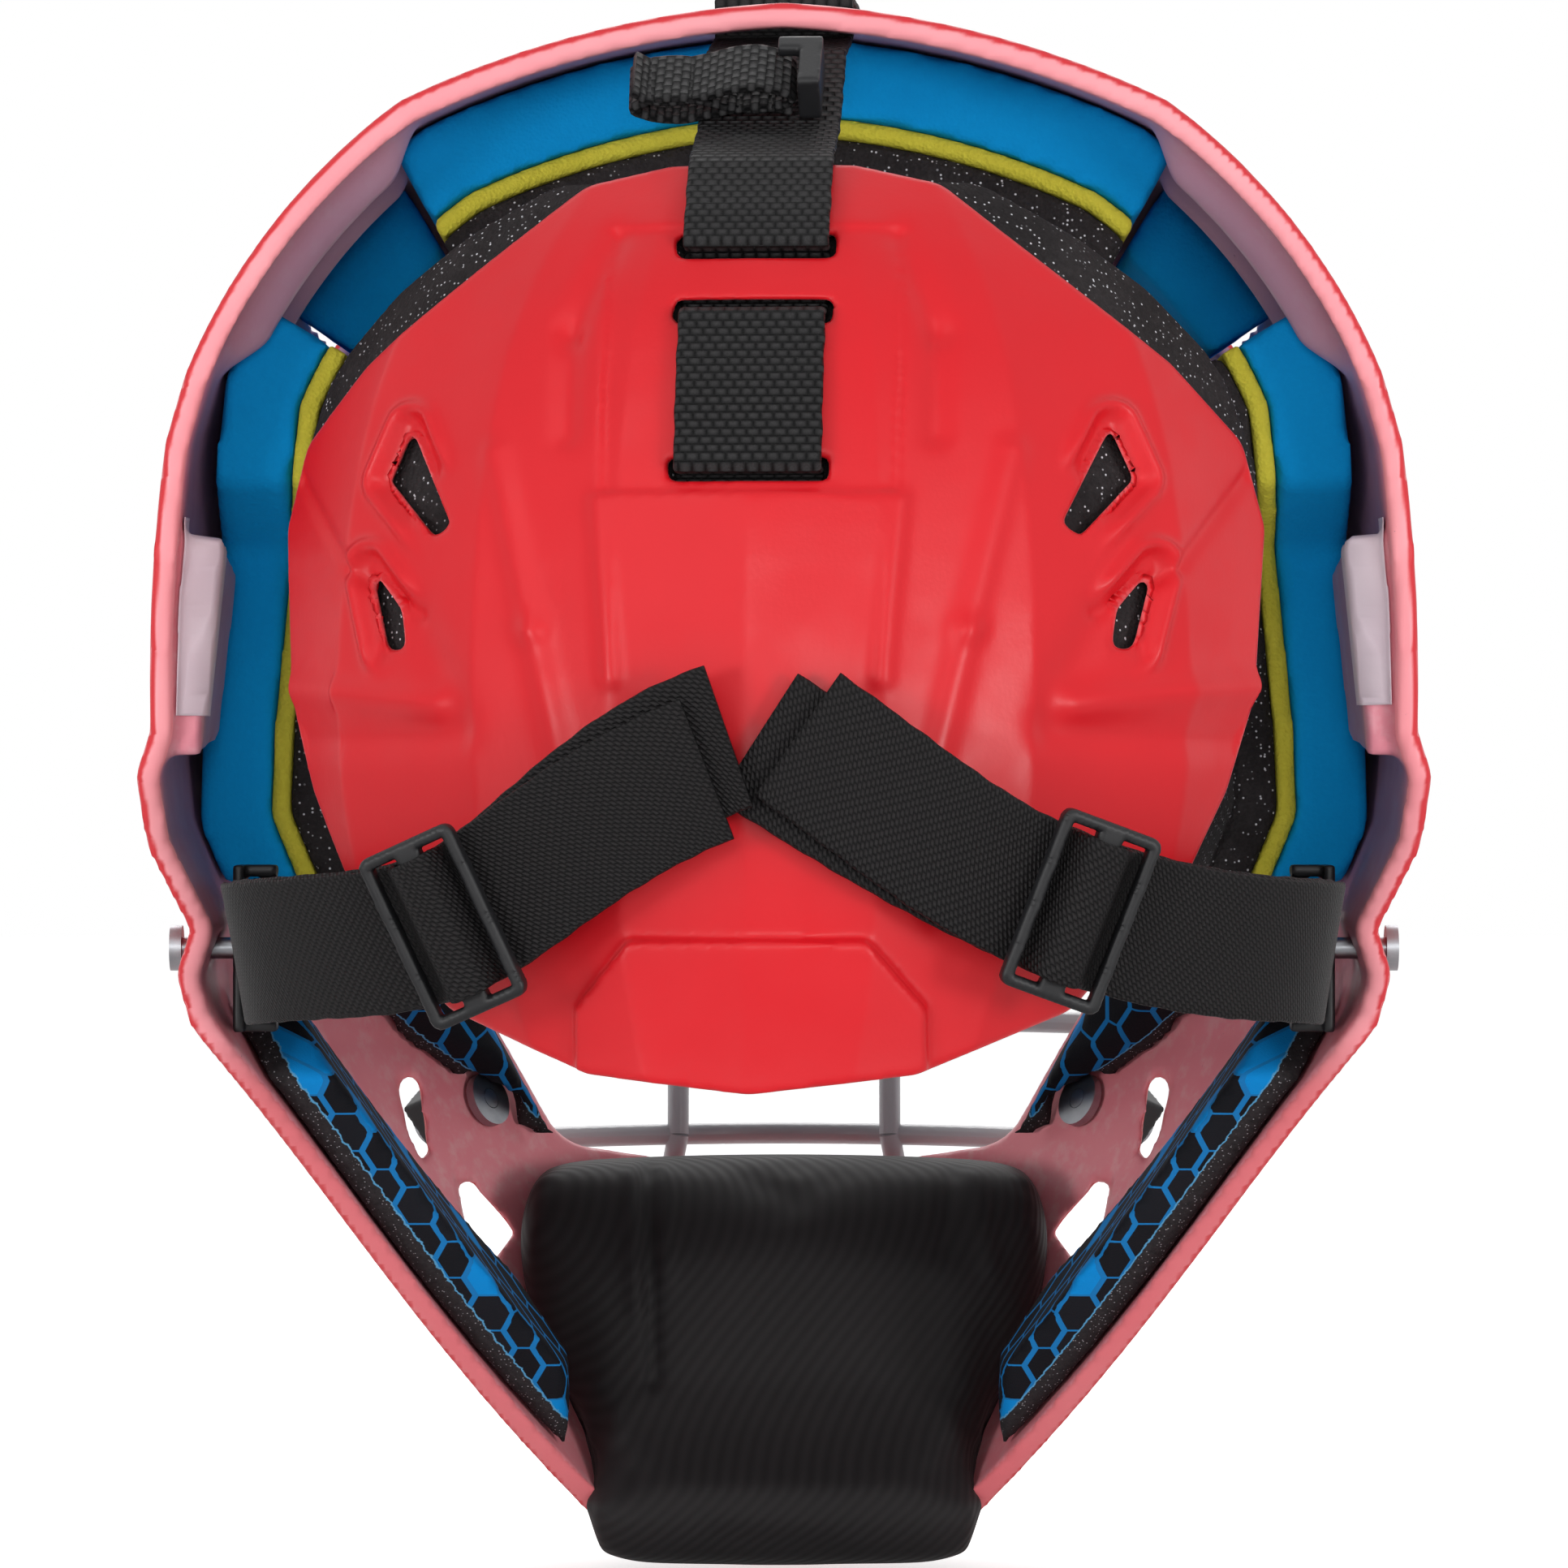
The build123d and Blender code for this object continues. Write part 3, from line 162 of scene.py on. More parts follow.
def painted_shell():
    """Satin red moulding, overspray pink inside, with painted shade deep in the shell and in its
    grooves, a pale cut edge and a few scuffs.
    """
    material, tree, shader, place = new_material(
        "satin_red_shell", roughness=0.4, ior=1.53, Specular_IOR_Level=0.3)
    outside, rim = attribute(tree, "outside"), attribute(tree, "rim")
    clouds = noise(tree, place, size_mm=30, detail=3)
    red = blend_colours(tree, clouds, linear("D4141B"), linear("E01A20"))
    dusty = blend_colours(tree, clouds, linear("F6808C"), linear("FFA2AA"))
    grain = noise(tree, place, size_mm=5, detail=4, roughness=0.65)
    dusty = blend_colours(tree, fade(tree, grain, 0.45, 0.7, to_high=0.45), dusty, linear("FCC0C4"))
    # Painted shade: deep inside and above the jaw, the pink turns lavender.
    shade = maths(tree, "MULTIPLY", attribute(tree, "shade"), SHADE_SHARE)
    dusty = blend_colours(tree, shade, dusty, linear("BE9CB6"))
    # Painted shade, dark purple, in the ribs' grooves and beside the side foam.
    groove_shade = maths(tree, "MULTIPLY", attribute(tree, "groove_shade"), GROOVE_SHADE_SHARE)
    dusty = blend_colours(tree, groove_shade, dusty, linear("5E3D58"))
    colour = blend_colours(tree, fade(tree, outside, 0.35, 0.65), dusty, red)
    edge = blend_colours(tree, clouds, linear("F88E98"), linear("FFAEB4"))
    skin = fade(tree, attribute(tree, "skin"), 0.3, 0.9)
    edge = blend_colours(tree, skin, edge, linear("D8343C"))
    colour = blend_colours(tree, fade(tree, rim, 0.4, 0.6), colour, edge)
    scratch = noise(tree, place, size_mm=1.6, detail=5, roughness=0.8)
    patch = noise(tree, place, size_mm=24, detail=1)
    scratched, patched = fade(tree, scratch, 0.66, 0.72), fade(tree, patch, 0.56, 0.64)
    scuff = maths(tree, "MULTIPLY", scratched, patched)
    scuff = maths(tree, "MULTIPLY", scuff, fade(tree, outside, 0.9, 0.5))
    scuff = maths(tree, "MULTIPLY", scuff, SCUFF_SHARE)
    colour = blend_colours(tree, scuff, colour, linear("5C4448"))
    peel = bump(tree, noise(tree, place, size_mm=0.9), depth_mm=0.02)
    roughness = fade(tree, noise(tree, place, size_mm=12), 0.3, 0.7, to_low=0.34, to_high=0.46)
    finish_material(tree, shader, colour, peel, roughness)
    return material


def painted_plate():
    """The rear plate's satin red, paler at its rubbed edges and inside."""
    material, tree, shader, place = new_material(
        "satin_red_plate", roughness=0.38, ior=1.53, Specular_IOR_Level=0.3)
    red = blend_colours(tree, noise(tree, place, size_mm=35), linear("CE121E"), linear("DA1A24"))
    rim = fade(tree, attribute(tree, "rim"), 0.3, 0.9, to_high=0.5)
    colour = blend_colours(tree, rim, red, linear("EE7A7E"))
    peel = bump(tree, noise(tree, place, size_mm=0.9), depth_mm=0.02)
    roughness = fade(tree, noise(tree, place, size_mm=12), 0.3, 0.7, to_low=0.33, to_high=0.44)
    finish_material(tree, shader, colour, peel, roughness)
    return material


# How large the foam's pits are beside its cells.
PIT_SHARE = 1.7


def cell_foam(name, pale, dark, cell_mm, pit_mm, sparkle=0.0):
    """Cut foam: fine pits with painted shade in them, soft mottling, and on open cells a few that
    catch the light.
    """
    material, tree, shader, place = new_material(
        name, roughness=0.85, ior=1.45, Specular_IOR_Level=0.12)
    clouds = noise(tree, place, size_mm=14, detail=4, roughness=0.6)
    colour = blend_colours(tree, clouds, linear(dark), linear(pale))
    cells = cells_of(tree, place, cell_mm)
    pits = noise(tree, place, size_mm=cell_mm * PIT_SHARE, detail=3, roughness=0.7)
    height = maths(tree, "ADD", cells, pits)
    # Painted shade in the pits.
    pit_shade = fade(tree, pits, 0.35, 0.75, to_low=0.35, to_high=0)
    colour = blend_colours(tree, pit_shade, colour, linear(dark))
    if sparkle:
        tone = cells_of(tree, place, cell_mm, output=1)
        bright = node(tree, "ShaderNodeSeparateColor", {0: tone})
        glint = fade(tree, bright, 1 - sparkle, 1 - sparkle / 2)
        glint = maths(tree, "MULTIPLY", glint, fade(tree, cells, 0.35, 0.15))
        colour = blend_colours(tree, glint, colour, linear("DCDCE2"))
    finish_material(tree, shader, colour, bump(tree, height, pit_mm))
    return material


def hexagons(tree, place, width_mm):
    """How far a point is from its cell's middle, 0.5 at the edge, and the cell's own place."""
    pitch = [1, math.sqrt(3), 1]
    sizes = {0: place, "Scale": 1 / width_mm}
    scaled = node(tree, "ShaderNodeVectorMath", sizes, operation="SCALE")
    halves = []
    for shift in (0.0, 0.5):
        shifted = {0: scaled, 1: [shift * p for p in pitch]}
        moved = node(tree, "ShaderNodeVectorMath", shifted, operation="SUBTRACT")
        limits = {0: moved, 1: [p / 2 for p in pitch], 2: [-p / 2 for p in pitch]}
        halves.append(node(tree, "ShaderNodeVectorMath", limits, operation="WRAP"))
    lengths = [
        node(tree, "ShaderNodeVectorMath", {0: half}, 1, operation="LENGTH") for half in halves
    ]
    nearer = maths(tree, "LESS_THAN", lengths[0], lengths[1])
    choices = {0: nearer, 4: halves[1], 5: halves[0]}
    local = node(tree, "ShaderNodeMix", choices, 1, data_type="VECTOR")
    folded = node(tree, "ShaderNodeVectorMath", {0: local}, operation="ABSOLUTE")
    slant = {0: folded, 1: [0.5, math.sqrt(3) / 2, 0]}
    slanted = node(tree, "ShaderNodeVectorMath", slant, 1, operation="DOT_PRODUCT")
    across = node(tree, "ShaderNodeSeparateXYZ", {0: folded})
    middle = node(tree, "ShaderNodeVectorMath", {0: scaled, 1: local}, operation="SUBTRACT")
    return maths(tree, "MAXIMUM", slanted, across), middle


# The print's cells, the share of them that is solid blue, where a cell's line begins and ends
# between its middle and its edge at 0.5, and how ragged the cloth's cut edge is.
HEXAGON_WIDTH_MM, SOLID_SHARE, LINE_EDGE, FRINGE_SHARE = 8.6, 0.2, (0.472, 0.48), 0.3


def printed_cloth():
    """Cloth printed with near-black six-sided cells in blue lines, on black foam."""
    material, tree, shader, place = new_material(
        "hexagon_print_cloth", roughness=0.8, ior=1.45, Specular_IOR_Level=0.15)
    flat = node(tree, "ShaderNodeUVMap", None, uv_map="print_mm")
    distance, middle = hexagons(tree, flat, HEXAGON_WIDTH_MM)
    tone = node(tree, "ShaderNodeTexWhiteNoise", {"Vector": middle}, noise_dimensions="3D")
    dark_tone = fade(tree, tone, 0.0, 1.0, to_high=0.5)
    cell = blend_colours(tree, dark_tone, linear("15161B"), linear("23252C"))
    solid = maths(tree, "GREATER_THAN", tone, 1 - SOLID_SHARE)
    cell = blend_colours(tree, solid, cell, linear("0A8EDC"))
    line = fade(tree, distance, *LINE_EDGE)
    printed = blend_colours(tree, line, cell, linear("1C7CC0"))
    grain = noise(tree, place, size_mm=1.2, detail=3, roughness=0.7)
    foam = blend_colours(tree, grain, linear("151415"), linear("403D3F"))
    speck = fade(tree, cells_of(tree, place, 0.8), 0.22, 0.12, to_high=0.6)
    foam = blend_colours(tree, speck, foam, linear("C8C8CE"))
    ragged = noise(tree, place, size_mm=1.0, detail=3)
    fringe = maths(tree, "MULTIPLY_ADD", ragged, FRINGE_SHARE, attribute(tree, "face"))
    colour = blend_colours(tree, fade(tree, fringe, 0.55, 0.62), foam, linear("5FA6D2"))
    colour = blend_colours(tree, fade(tree, fringe, 0.68, 0.76), colour, printed)
    weave = noise(tree, place, size_mm=0.5, detail=3, roughness=0.7)
    finish_material(tree, shader, colour, bump(tree, weave, depth_mm=0.12))
    return material


# The knit's ribs, and the factor between a wave texture's scale and its pitch.
RIB_PITCH_MM, WAVE_FACTOR = 0.75, 0.314


def knit_cloth():
    """Smooth black stretch knit, with fine slanting ribs and a painted highlight on their crests.
    """
    material, tree, shader, place = new_material(
        "black_stretch_knit", roughness=0.62, ior=1.45, Specular_IOR_Level=0.22)
    shader.inputs["Sheen Weight"].default_value = 0.04
    scale = WAVE_FACTOR / (RIB_PITCH_MM * MM) / 2
    ribs = node(
        tree, "ShaderNodeTexWave", {"Vector": place, "Scale": scale, "Distortion": 0.4},
        1, wave_type="BANDS", bands_direction="DIAGONAL",
    )
    clouds = noise(tree, place, size_mm=22, detail=3)
    colour = blend_colours(tree, clouds, linear("141213"), linear("1E1B1C"))
    # A painted highlight on the ribs' crests.
    colour = blend_colours(tree, maths(tree, "MULTIPLY", ribs, 0.3), colour, linear("2C292A"))
    finish_material(tree, shader, colour, bump(tree, ribs, depth_mm=0.08))
    return material


# How full a stitch is along and across, how far the fibres' fuzz rises beside it, and how much
# darker patches of the weave are.
STITCH_POWERS, FUZZ_SHARE, WORN_SHARE = (0.6, 0.8), 0.35, 0.25


def woven(name, across_mm, along_mm, depth_mm, pale, dark, slant=0.0):
    """Webbing or elastic from its flat map: rows of raised stitches, each row half a step on, with
    painted light on their tops and painted shade between them.
    """
    material, tree, shader, place = new_material(name, roughness=0.55, Specular_IOR_Level=0.2)
    flat = node(tree, "ShaderNodeUVMap", None, uv_map="weave_mm")
    u = node(tree, "ShaderNodeSeparateXYZ", {0: flat})
    v = node(tree, "ShaderNodeSeparateXYZ", {0: flat}, 1)
    v = maths(tree, "MULTIPLY_ADD", u, slant, v)
    row = maths(tree, "DIVIDE", v, along_mm)
    shift = maths(tree, "MULTIPLY", maths(tree, "FLOOR", row), 0.5)
    column = maths(tree, "ADD", maths(tree, "DIVIDE", u, across_mm), shift)
    waves = []
    for step in (row, column):
        turn = maths(tree, "MULTIPLY", step, math.pi)
        waves.append(maths(tree, "ABSOLUTE", maths(tree, "SINE", turn)))
    shaped = [maths(tree, "POWER", wave, power) for wave, power in zip(waves, STITCH_POWERS)]
    stitch = maths(tree, "MULTIPLY", *shaped)
    fuzz = noise(tree, place, size_mm=0.35, detail=3, roughness=0.7)
    height = maths(tree, "ADD", stitch, maths(tree, "MULTIPLY", fuzz, FUZZ_SHARE))
    clouds = noise(tree, place, size_mm=9)
    # Painted light and shade: the stitches' tops pale, the hollows between them dark.
    colour = blend_colours(tree, fade(tree, height, 0.25, 1.1), linear(dark), linear(pale))
    colour = blend_colours(tree, maths(tree, "MULTIPLY", clouds, WORN_SHARE), colour, linear(dark))
    finish_material(tree, shader, colour, bump(tree, height, depth_mm))
    return material


def plain_material(
        name, roughness, colours, cloud_mm, detail, grain_mm, grain_detail, depth_mm, **sockets):
    """Two close colours in soft clouds, under a fine even grain."""
    material, tree, shader, place = new_material(name, roughness, **sockets)
    clouds = noise(tree, place, cloud_mm, detail)
    colour = blend_colours(tree, clouds, linear(colours[0]), linear(colours[1]))
    grain = noise(tree, place, grain_mm, grain_detail)
    finish_material(tree, shader, colour, bump(tree, grain, depth_mm))
    return material


def hook_tape():
    material, tree, shader, place = new_material("black_hook_tape", roughness=0.7)
    hooks = cells_of(tree, place, size_mm=1.1)
    colour = blend_colours(tree, hooks, linear("2A2A2C"), linear("0E0E0F"))
    finish_material(tree, shader, colour, bump(tree, hooks, depth_mm=0.4))
    return material


materials = {
    "shell": painted_shell(),
    "plate": painted_plate(),
    "blue_foam": cell_foam("blue_closed_cell_foam", "0CA4EC", "0895DE", cell_mm=0.7, pit_mm=0.08),
    "yellow_foam": cell_foam("olive_yellow_foam", "E8DE52", "CCC23C", cell_mm=0.7, pit_mm=0.2),
    "black_foam": cell_foam(
        "black_open_cell_foam", "464243", "141213", cell_mm=0.8, pit_mm=0.35, sparkle=0.3),
    "printed_foam": printed_cloth(),
    "pad_fabric": knit_cloth(),
    "elastic_webbing": woven(
        "black_ribbed_elastic", across_mm=1.2, along_mm=0.8, depth_mm=0.25,
        pale="1E1B1C", dark="050405", slant=0.5),
    "nylon_webbing": woven(
        "black_woven_nylon", across_mm=2.3, along_mm=1.45, depth_mm=0.7,
        pale="302F30", dark="030304"),
    "black_nylon": plain_material(
        "black_moulded_nylon", 0.42, ("141416", "1F1F21"), cloud_mm=8, detail=3,
        grain_mm=0.5, grain_detail=2, depth_mm=0.015, Specular_IOR_Level=0.35),
    "fixing_steel": plain_material(
        "zinc_plated_steel", 0.36, ("8E9196", "B4B6BA"), cloud_mm=3, detail=4,
        grain_mm=0.4, grain_detail=2, depth_mm=0.01, ior=2.5, Metallic=1.0),
    "cage_wire": plain_material(
        "grey_coated_wire", 0.34, ("B9B9BE", "CFCFD3"), cloud_mm=15, detail=3,
        grain_mm=1.4, grain_detail=2, depth_mm=0.03, Coat_Weight=0.25),
    "hook_tape": hook_tape(),
    "label": plain_material(
        "bare_label_paper", 0.45, ("D6C4D0", "E4D6DE"), cloud_mm=12, detail=3,
        grain_mm=2, grain_detail=3, depth_mm=0.03),
}

# Shapes


def evaluated_mesh(piece):
    graph = bpy.context.evaluated_depsgraph_get()
    return bpy.data.meshes.new_from_object(piece.evaluated_get(graph))


def apply_modifiers(piece):
    mesh = evaluated_mesh(piece)
    piece.modifiers.clear()
    piece.data = mesh


def coordinates(piece):
    mesh = piece.data
    flat = np.empty(len(mesh.vertices) * 3)
    mesh.vertices.foreach_get("co", flat)
    return flat.reshape(-1, 3)


def vertex_normals(piece):
    mesh = piece.data
    flat = np.empty(len(mesh.vertices) * 3)
    mesh.vertex_normals.foreach_get("vector", flat)
    return flat.reshape(-1, 3)


def move_vertices(piece, places):
    piece.data.vertices.foreach_set("co", places.ravel())
    piece.data.update()


def smooth_shading(piece):
    piece.data.polygons.foreach_set("use_smooth", [True] * len(piece.data.polygons))


def dress(piece, node_name, material, bend=None):
    """The piece stands for a CAD node, takes a material, and rides with its body, or with a bend
    given keeps its place, attached to no body.
    """
    piece.data.materials.clear()
    piece.data.materials.append(materials[material])
    if bend:
        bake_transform(piece)
    else:
        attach(piece, body_of[node_name])
    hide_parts(node_name)


SOFTEN_FACTOR = 0.5


def moulded_copy(node_name, voxel_mm, rounds, name):
    """A copy of a CAD node with its edges rounded as a mould leaves them."""
    source = frame["nodes"][node_name]
    piece = bpy.data.objects.new(name, source.data.copy())
    bpy.context.collection.objects.link(piece)
    remesh = piece.modifiers.new("remesh", "REMESH")
    remesh.mode = "VOXEL"
    remesh.voxel_size = voxel_mm * MM
    soften = piece.modifiers.new("soften", "SMOOTH")
    soften.factor = SOFTEN_FACTOR
    soften.iterations = rounds
    apply_modifiers(piece)
    smooth_shading(piece)
    return piece


def add_attribute(piece, name, values):
    layer = piece.data.attributes.new(name, "FLOAT", "POINT")
    layer.data.foreach_set("value", values.astype(np.float32))


def smooth_step(value, low, high):
    share = np.clip((value - low) / (high - low), 0, 1)
    return share * share * (3 - 2 * share)


def dot(a, b):
    return (a * b).sum(axis=-1)


def unit(vectors):
    return vectors / np.maximum(np.linalg.norm(vectors, axis=-1, keepdims=True), 1e-9)


# The shell

SHELL_MIDDLE = np.array([0, 10, -20]) * MM
# A ray starts off the skin that it leaves, and looks no further than the next wall.
RAY_START, WALL_REACH = 0.6 * MM, 12 * MM
# Below this height the rim slants down and forward to the chin.
JAW_TOP = -60 * MM
STRAIGHT_BACK, SLANTED_BACK = np.array([0, 1.0, 0]), np.array([0, 0.707, -0.707])
RIM_SLANT = 0.71
# How far under the rim's face its rays start, and how far they lean into the wall.
UNDER_RIM, RAY_LEAN = 0.8 * MM, 0.15
# How red the rim is along the jaw.
JAW_REDNESS = 0.6
shell = moulded_copy("front_shell", voxel_mm=1.25, rounds=3, name="helmet_shell")
places, normals = coordinates(shell), vertex_normals(shell)


def mesh_tree(piece):
    corners = [vertex.co for vertex in piece.data.vertices]
    return BVHTree.FromPolygons(corners, [polygon.vertices for polygon in piece.data.polygons])


def wall_beyond(tree, places, headings):
    """How much wall lies beyond each point, up to a reach: 0 on an outer skin."""
    beyond = np.zeros(len(places))
    for i, (place, heading) in enumerate(zip(places, headings)):
        start = Vector(place + heading * RAY_START)
        hit = tree.ray_cast(start, Vector(heading), WALL_REACH)
        if hit[0] is not None:
            beyond[i] = (hit[0] - start).length
    return beyond


# The rim's plane in side view, from over the crown to under the chin, as Y and Z in mm.
RIM_LINE = [(48, 118), (48, 53), (42, -22.4), (24, -72.2), (-81.8, -177.2)]
rim_points = np.array(RIM_LINE) * MM
rim_y = np.interp(-places[:, 2], -rim_points[:, 1], rim_points[:, 0])
rim_z = np.interp(places[:, 1], rim_points[::-1, 0], rim_points[::-1, 1])
on_jaw = places[:, 2] < JAW_TOP
behind_rim = np.where(on_jaw, (rim_z - places[:, 2]) * RIM_SLANT, places[:, 1] - rim_y)
at_rim = smooth_step(behind_rim, -2.6 * MM, -0.8 * MM)
outwards = unit(places - SHELL_MIDDLE)
shell_tree = mesh_tree(shell)
beyond = wall_beyond(shell_tree, places, outwards)
facing = dot(outwards, normals)
# On the rim a ray just under its face, square to it, tells how far in from the outer edge a
# point is.
rim_facing = np.where(on_jaw[:, None], SLANTED_BACK, STRAIGHT_BACK)
under_rim = unit(outwards - rim_facing * (dot(outwards, rim_facing) + RAY_LEAN)[:, None])
from_edge = wall_beyond(shell_tree, places - rim_facing * UNDER_RIM, under_rim)
add_attribute(shell, "outside", smooth_step(facing, -0.1, 0.25) * (beyond == 0) * (1 - at_rim))
add_attribute(shell, "rim", at_rim)
redder_jaw = JAW_REDNESS * smooth_step(places[:, 2], -50 * MM, -85 * MM)
skin = np.maximum(smooth_step(from_edge, 1.1 * MM, 0.1 * MM), redder_jaw)
add_attribute(shell, "skin", skin * at_rim)
# Painted shade on the wall deep inside the shell and above the jaw, drawn lavender in the material.
deep_inside = smooth_step(places[:, 1], 44 * MM, 30 * MM)
shade = deep_inside * smooth_step(places[:, 2], -75 * MM, -25 * MM)
add_attribute(shell, "shade", shade)
# Ribs pressed into the inner wall between the crown foam and the side foam: how far back each
# lies, its half width and its rise, in mm.
RIBS = [(40, 4.0, -1.8), (28, 4.4, 5.5), (16, 3.5, -1.8), (5, 3.8, 6.0)]
# The ribs fan out from this height. Beside the side foam the painted shade is half as dark as in a
# groove.
RIB_CENTRE_Z, FOAM_SHADE = 10 * MM, 0.5
turn = np.degrees(np.arctan2(places[:, 2] - RIB_CENTRE_Z, np.abs(places[:, 0])))
inward = smooth_step(facing, 0.0, -0.4)
band = smooth_step(turn, 20, 27) * smooth_step(turn, 53, 46) * inward
rib_waves = [np.exp(-((places[:, 1] / MM - place) / half) ** 2) for place, half, _ in RIBS]
ribs = sum(rise * wave for wave, (_, _, rise) in zip(rib_waves, RIBS))
move_vertices(shell, places + normals * (ribs * band * MM)[:, None])
# Painted shade in the grooves between the ribs and beside the side foam.
grooves = sum(wave for wave, (_, _, rise) in zip(rib_waves, RIBS) if rise < 0)
beside_foam = smooth_step(turn, 24, 14) * smooth_step(turn, -30, -20)
beside_foam = beside_foam * smooth_step(places[:, 1], 44 * MM, 34 * MM)
add_attribute(shell, "groove_shade", np.maximum(grooves * band, FOAM_SHADE * beside_foam) * inward)
dress(shell, "front_shell", "shell")

# The rear plate, with its raised vent frames, creases, ledges and ribs

# The plate hangs a little turned about the crown slot, which lies this far back, in mm.
PLATE_TURN, SLOT_Y = math.radians(-4.2), 31.0
PLATE_MIDDLE_Z, HALF_PLATE, HALF_HEIGHT = 3.5, 89.0, 81.0


def plate_place(places):
    """Where points lie across and up on the plate before it hangs turned, in mm."""
    x, y = places[:, 0] / MM, places[:, 1] / MM - SLOT_Y
    across = x * math.cos(PLATE_TURN) + y * math.sin(PLATE_TURN)
    return np.stack([across, places[:, 2] / MM], axis=1)


def outline_mm(shares, side=1):
    corners = [(side * x * HALF_PLATE, PLATE_MIDDLE_Z + z * HALF_HEIGHT) for x, z in shares]
    return np.array(corners)


def segment_distance(points, start, end):
    line = end - start
    share = np.clip(((points - start) @ line) / (line @ line), 0, 1)
    return np.linalg.norm(points - (start + share[:, None] * line), axis=1)


def outline_distance(points, outline):
    closed = np.vstack([outline, outline[:1]])
    distances = [segment_distance(points, a, b) for a, b in zip(closed[:-1], closed[1:])]
    return np.min(distances, axis=0)


UPPER_VENT = [(0.685, 0.42), (0.73, 0.31), (0.63, 0.185), (0.595, 0.21)]
LOWER_VENT = [(0.77, 0.125), (0.73, -0.055), (0.69, -0.055), (0.7, 0.03)]
# A frame stands round each vent on its outer side, with its floor sunk: how far out the frame
# lies, its half width and its rise, and the floor's depth, in mm.
FRAME_OUT, FRAME_HALF, FRAME_RISE, FLOOR_DEPTH = 4.0, 1.2, 1.5, 1.4
# The direction across and up in which a vent's outer side lies.
OUTER_SIDE = (0.86, 0.5)
# Each relief line has its two ends, as shares of the half plate, its half width and its height
# in mm.
RELIEF_LINES = [
    ((0.97, 0.36), (0.82, 0.12), 1.2, -0.9),
    ((0.82, 0.12), (0.67, 0.02), 1.4, -0.9),
    ((0.67, 0.02), (0.58, -0.2), 3.6, -1.0),
    ((0.98, -0.13), (0.62, -0.17), 3.2, 1.8),
    ((0.95, -0.25), (0.58, -0.24), 3.0, -0.9),
    ((0.5, 0.36), (0.42, -0.02), 2.6, 0.9),
    ((0.42, -0.02), (0.36, -0.3), 2.6, 0.9),
    ((0.29, 0.25), (0.26, -0.12), 2.0, 0.8),
    ((0.28, 0.83), (0.36, 0.62), 2.6, -0.9),
    ((0.36, 0.62), (0.36, 0.4), 2.6, -0.9),
    ((0.2, -0.2), (0.36, -0.62), 2.6, -0.7),
]


def plate_relief(points):
    height = np.zeros(len(points))
    for side in (1, -1):
        for vent in (UPPER_VENT, LOWER_VENT):
            outline = outline_mm(vent, side)
            distance = outline_distance(points, outline)
            out = np.array([side * OUTER_SIDE[0], OUTER_SIDE[1]])
            outer_side = unit(points - outline.mean(axis=0)) @ out
            ridge = FRAME_RISE * np.exp(-((distance - FRAME_OUT) / FRAME_HALF) ** 2)
            scoop = FLOOR_DEPTH * smooth_step(distance, 3.6, 0.8)
            height += (ridge - scoop) * smooth_step(outer_side, -0.6, 0.3)
        for start, end, width, rise in RELIEF_LINES:
            a, b = outline_mm([start, end], side)
            height += rise * np.exp(-(segment_distance(points, a, b) / width) ** 2)
    return height * MM


plate = moulded_copy("rear_plate", voxel_mm=0.7, rounds=6, name="rear_plate_shell")
places, normals = coordinates(plate), vertex_normals(plate)
points = plate_place(places)
outward = smooth_step(normals[:, 1], 0.2, 0.55)
move_vertices(plate, places + normals * (plate_relief(points) * outward)[:, None])
add_attribute(plate, "rim", 1 - smooth_step(np.abs(normals[:, 1]), 0.1, 0.4))
dress(plate, "rear_plate", "plate")

# Foam

FOAM_VOXELS = {"blue_foam": 2.0, "yellow_foam": 1.3, "black_foam": 1.6, "printed_foam": 1.8}
FOAM_ROUNDS = 3
# The cloth covers what lies this far off the wall, in mm, and the share of the pad's depth that
# counts as its face.
CLOTH_EDGE, FACE_SHARE = (3.6, 6.2), 0.85
# How much longer up and shorter across than its true size the print is drawn.
PRINT_UP, PRINT_OVER = 1.2, 0.85


def print_axes(look):
    """Two directions on a pad whose face looks that way, with the print unrolled over its back
    edge, so that the cells keep their size."""
    along = unit(np.cross(look, SLANTED_BACK))
    along *= np.sign(along[2])
    over_face = np.cross(along, look)
    over_face *= np.sign(over_face @ SLANTED_BACK)
    over_edge = np.cross(along, SLANTED_BACK)
    over_edge *= -np.sign(over_edge @ look)
    unrolled = (over_face + over_edge) / (1 + over_face @ over_edge)
    upright = np.abs(SLANTED_BACK)
    up, over = upright @ along, upright @ unrolled
    return along * up + unrolled * over, unrolled * up - along * over


def lay_print(foam):
    """Marks a pad's cloth face and gives it a flat map for the print."""
    places, normals = coordinates(foam), vertex_normals(foam)
    off_wall = np.array([shell_tree.find_nearest(Vector(place))[3] for place in places])
    low, high = CLOTH_EDGE
    add_attribute(foam, "face", smooth_step(off_wall, low * MM, high * MM))
    face = off_wall > FACE_SHARE * off_wall.max()
    flat_up, flat_over = print_axes(unit(normals[face].mean(axis=0)))
    flat = foam.data.uv_layers.new(name="print_mm")
    corners = np.empty(len(foam.data.loops), dtype=np.int64)
    foam.data.loops.foreach_get("vertex_index", corners)
    uv = np.stack([places @ flat_up / PRINT_UP, places @ flat_over / PRINT_OVER], axis=1)
    flat.data.foreach_set("uv", (uv[corners] / MM).astype(np.float32).ravel())


for node_name, slot in slot_of.items():
    if slot in FOAM_VOXELS:
        foam = moulded_copy(node_name, FOAM_VOXELS[slot], FOAM_ROUNDS, f"{node_name}_block")
        if slot == "printed_foam":
            lay_print(foam)
        dress(foam, node_name, slot)

# Straps


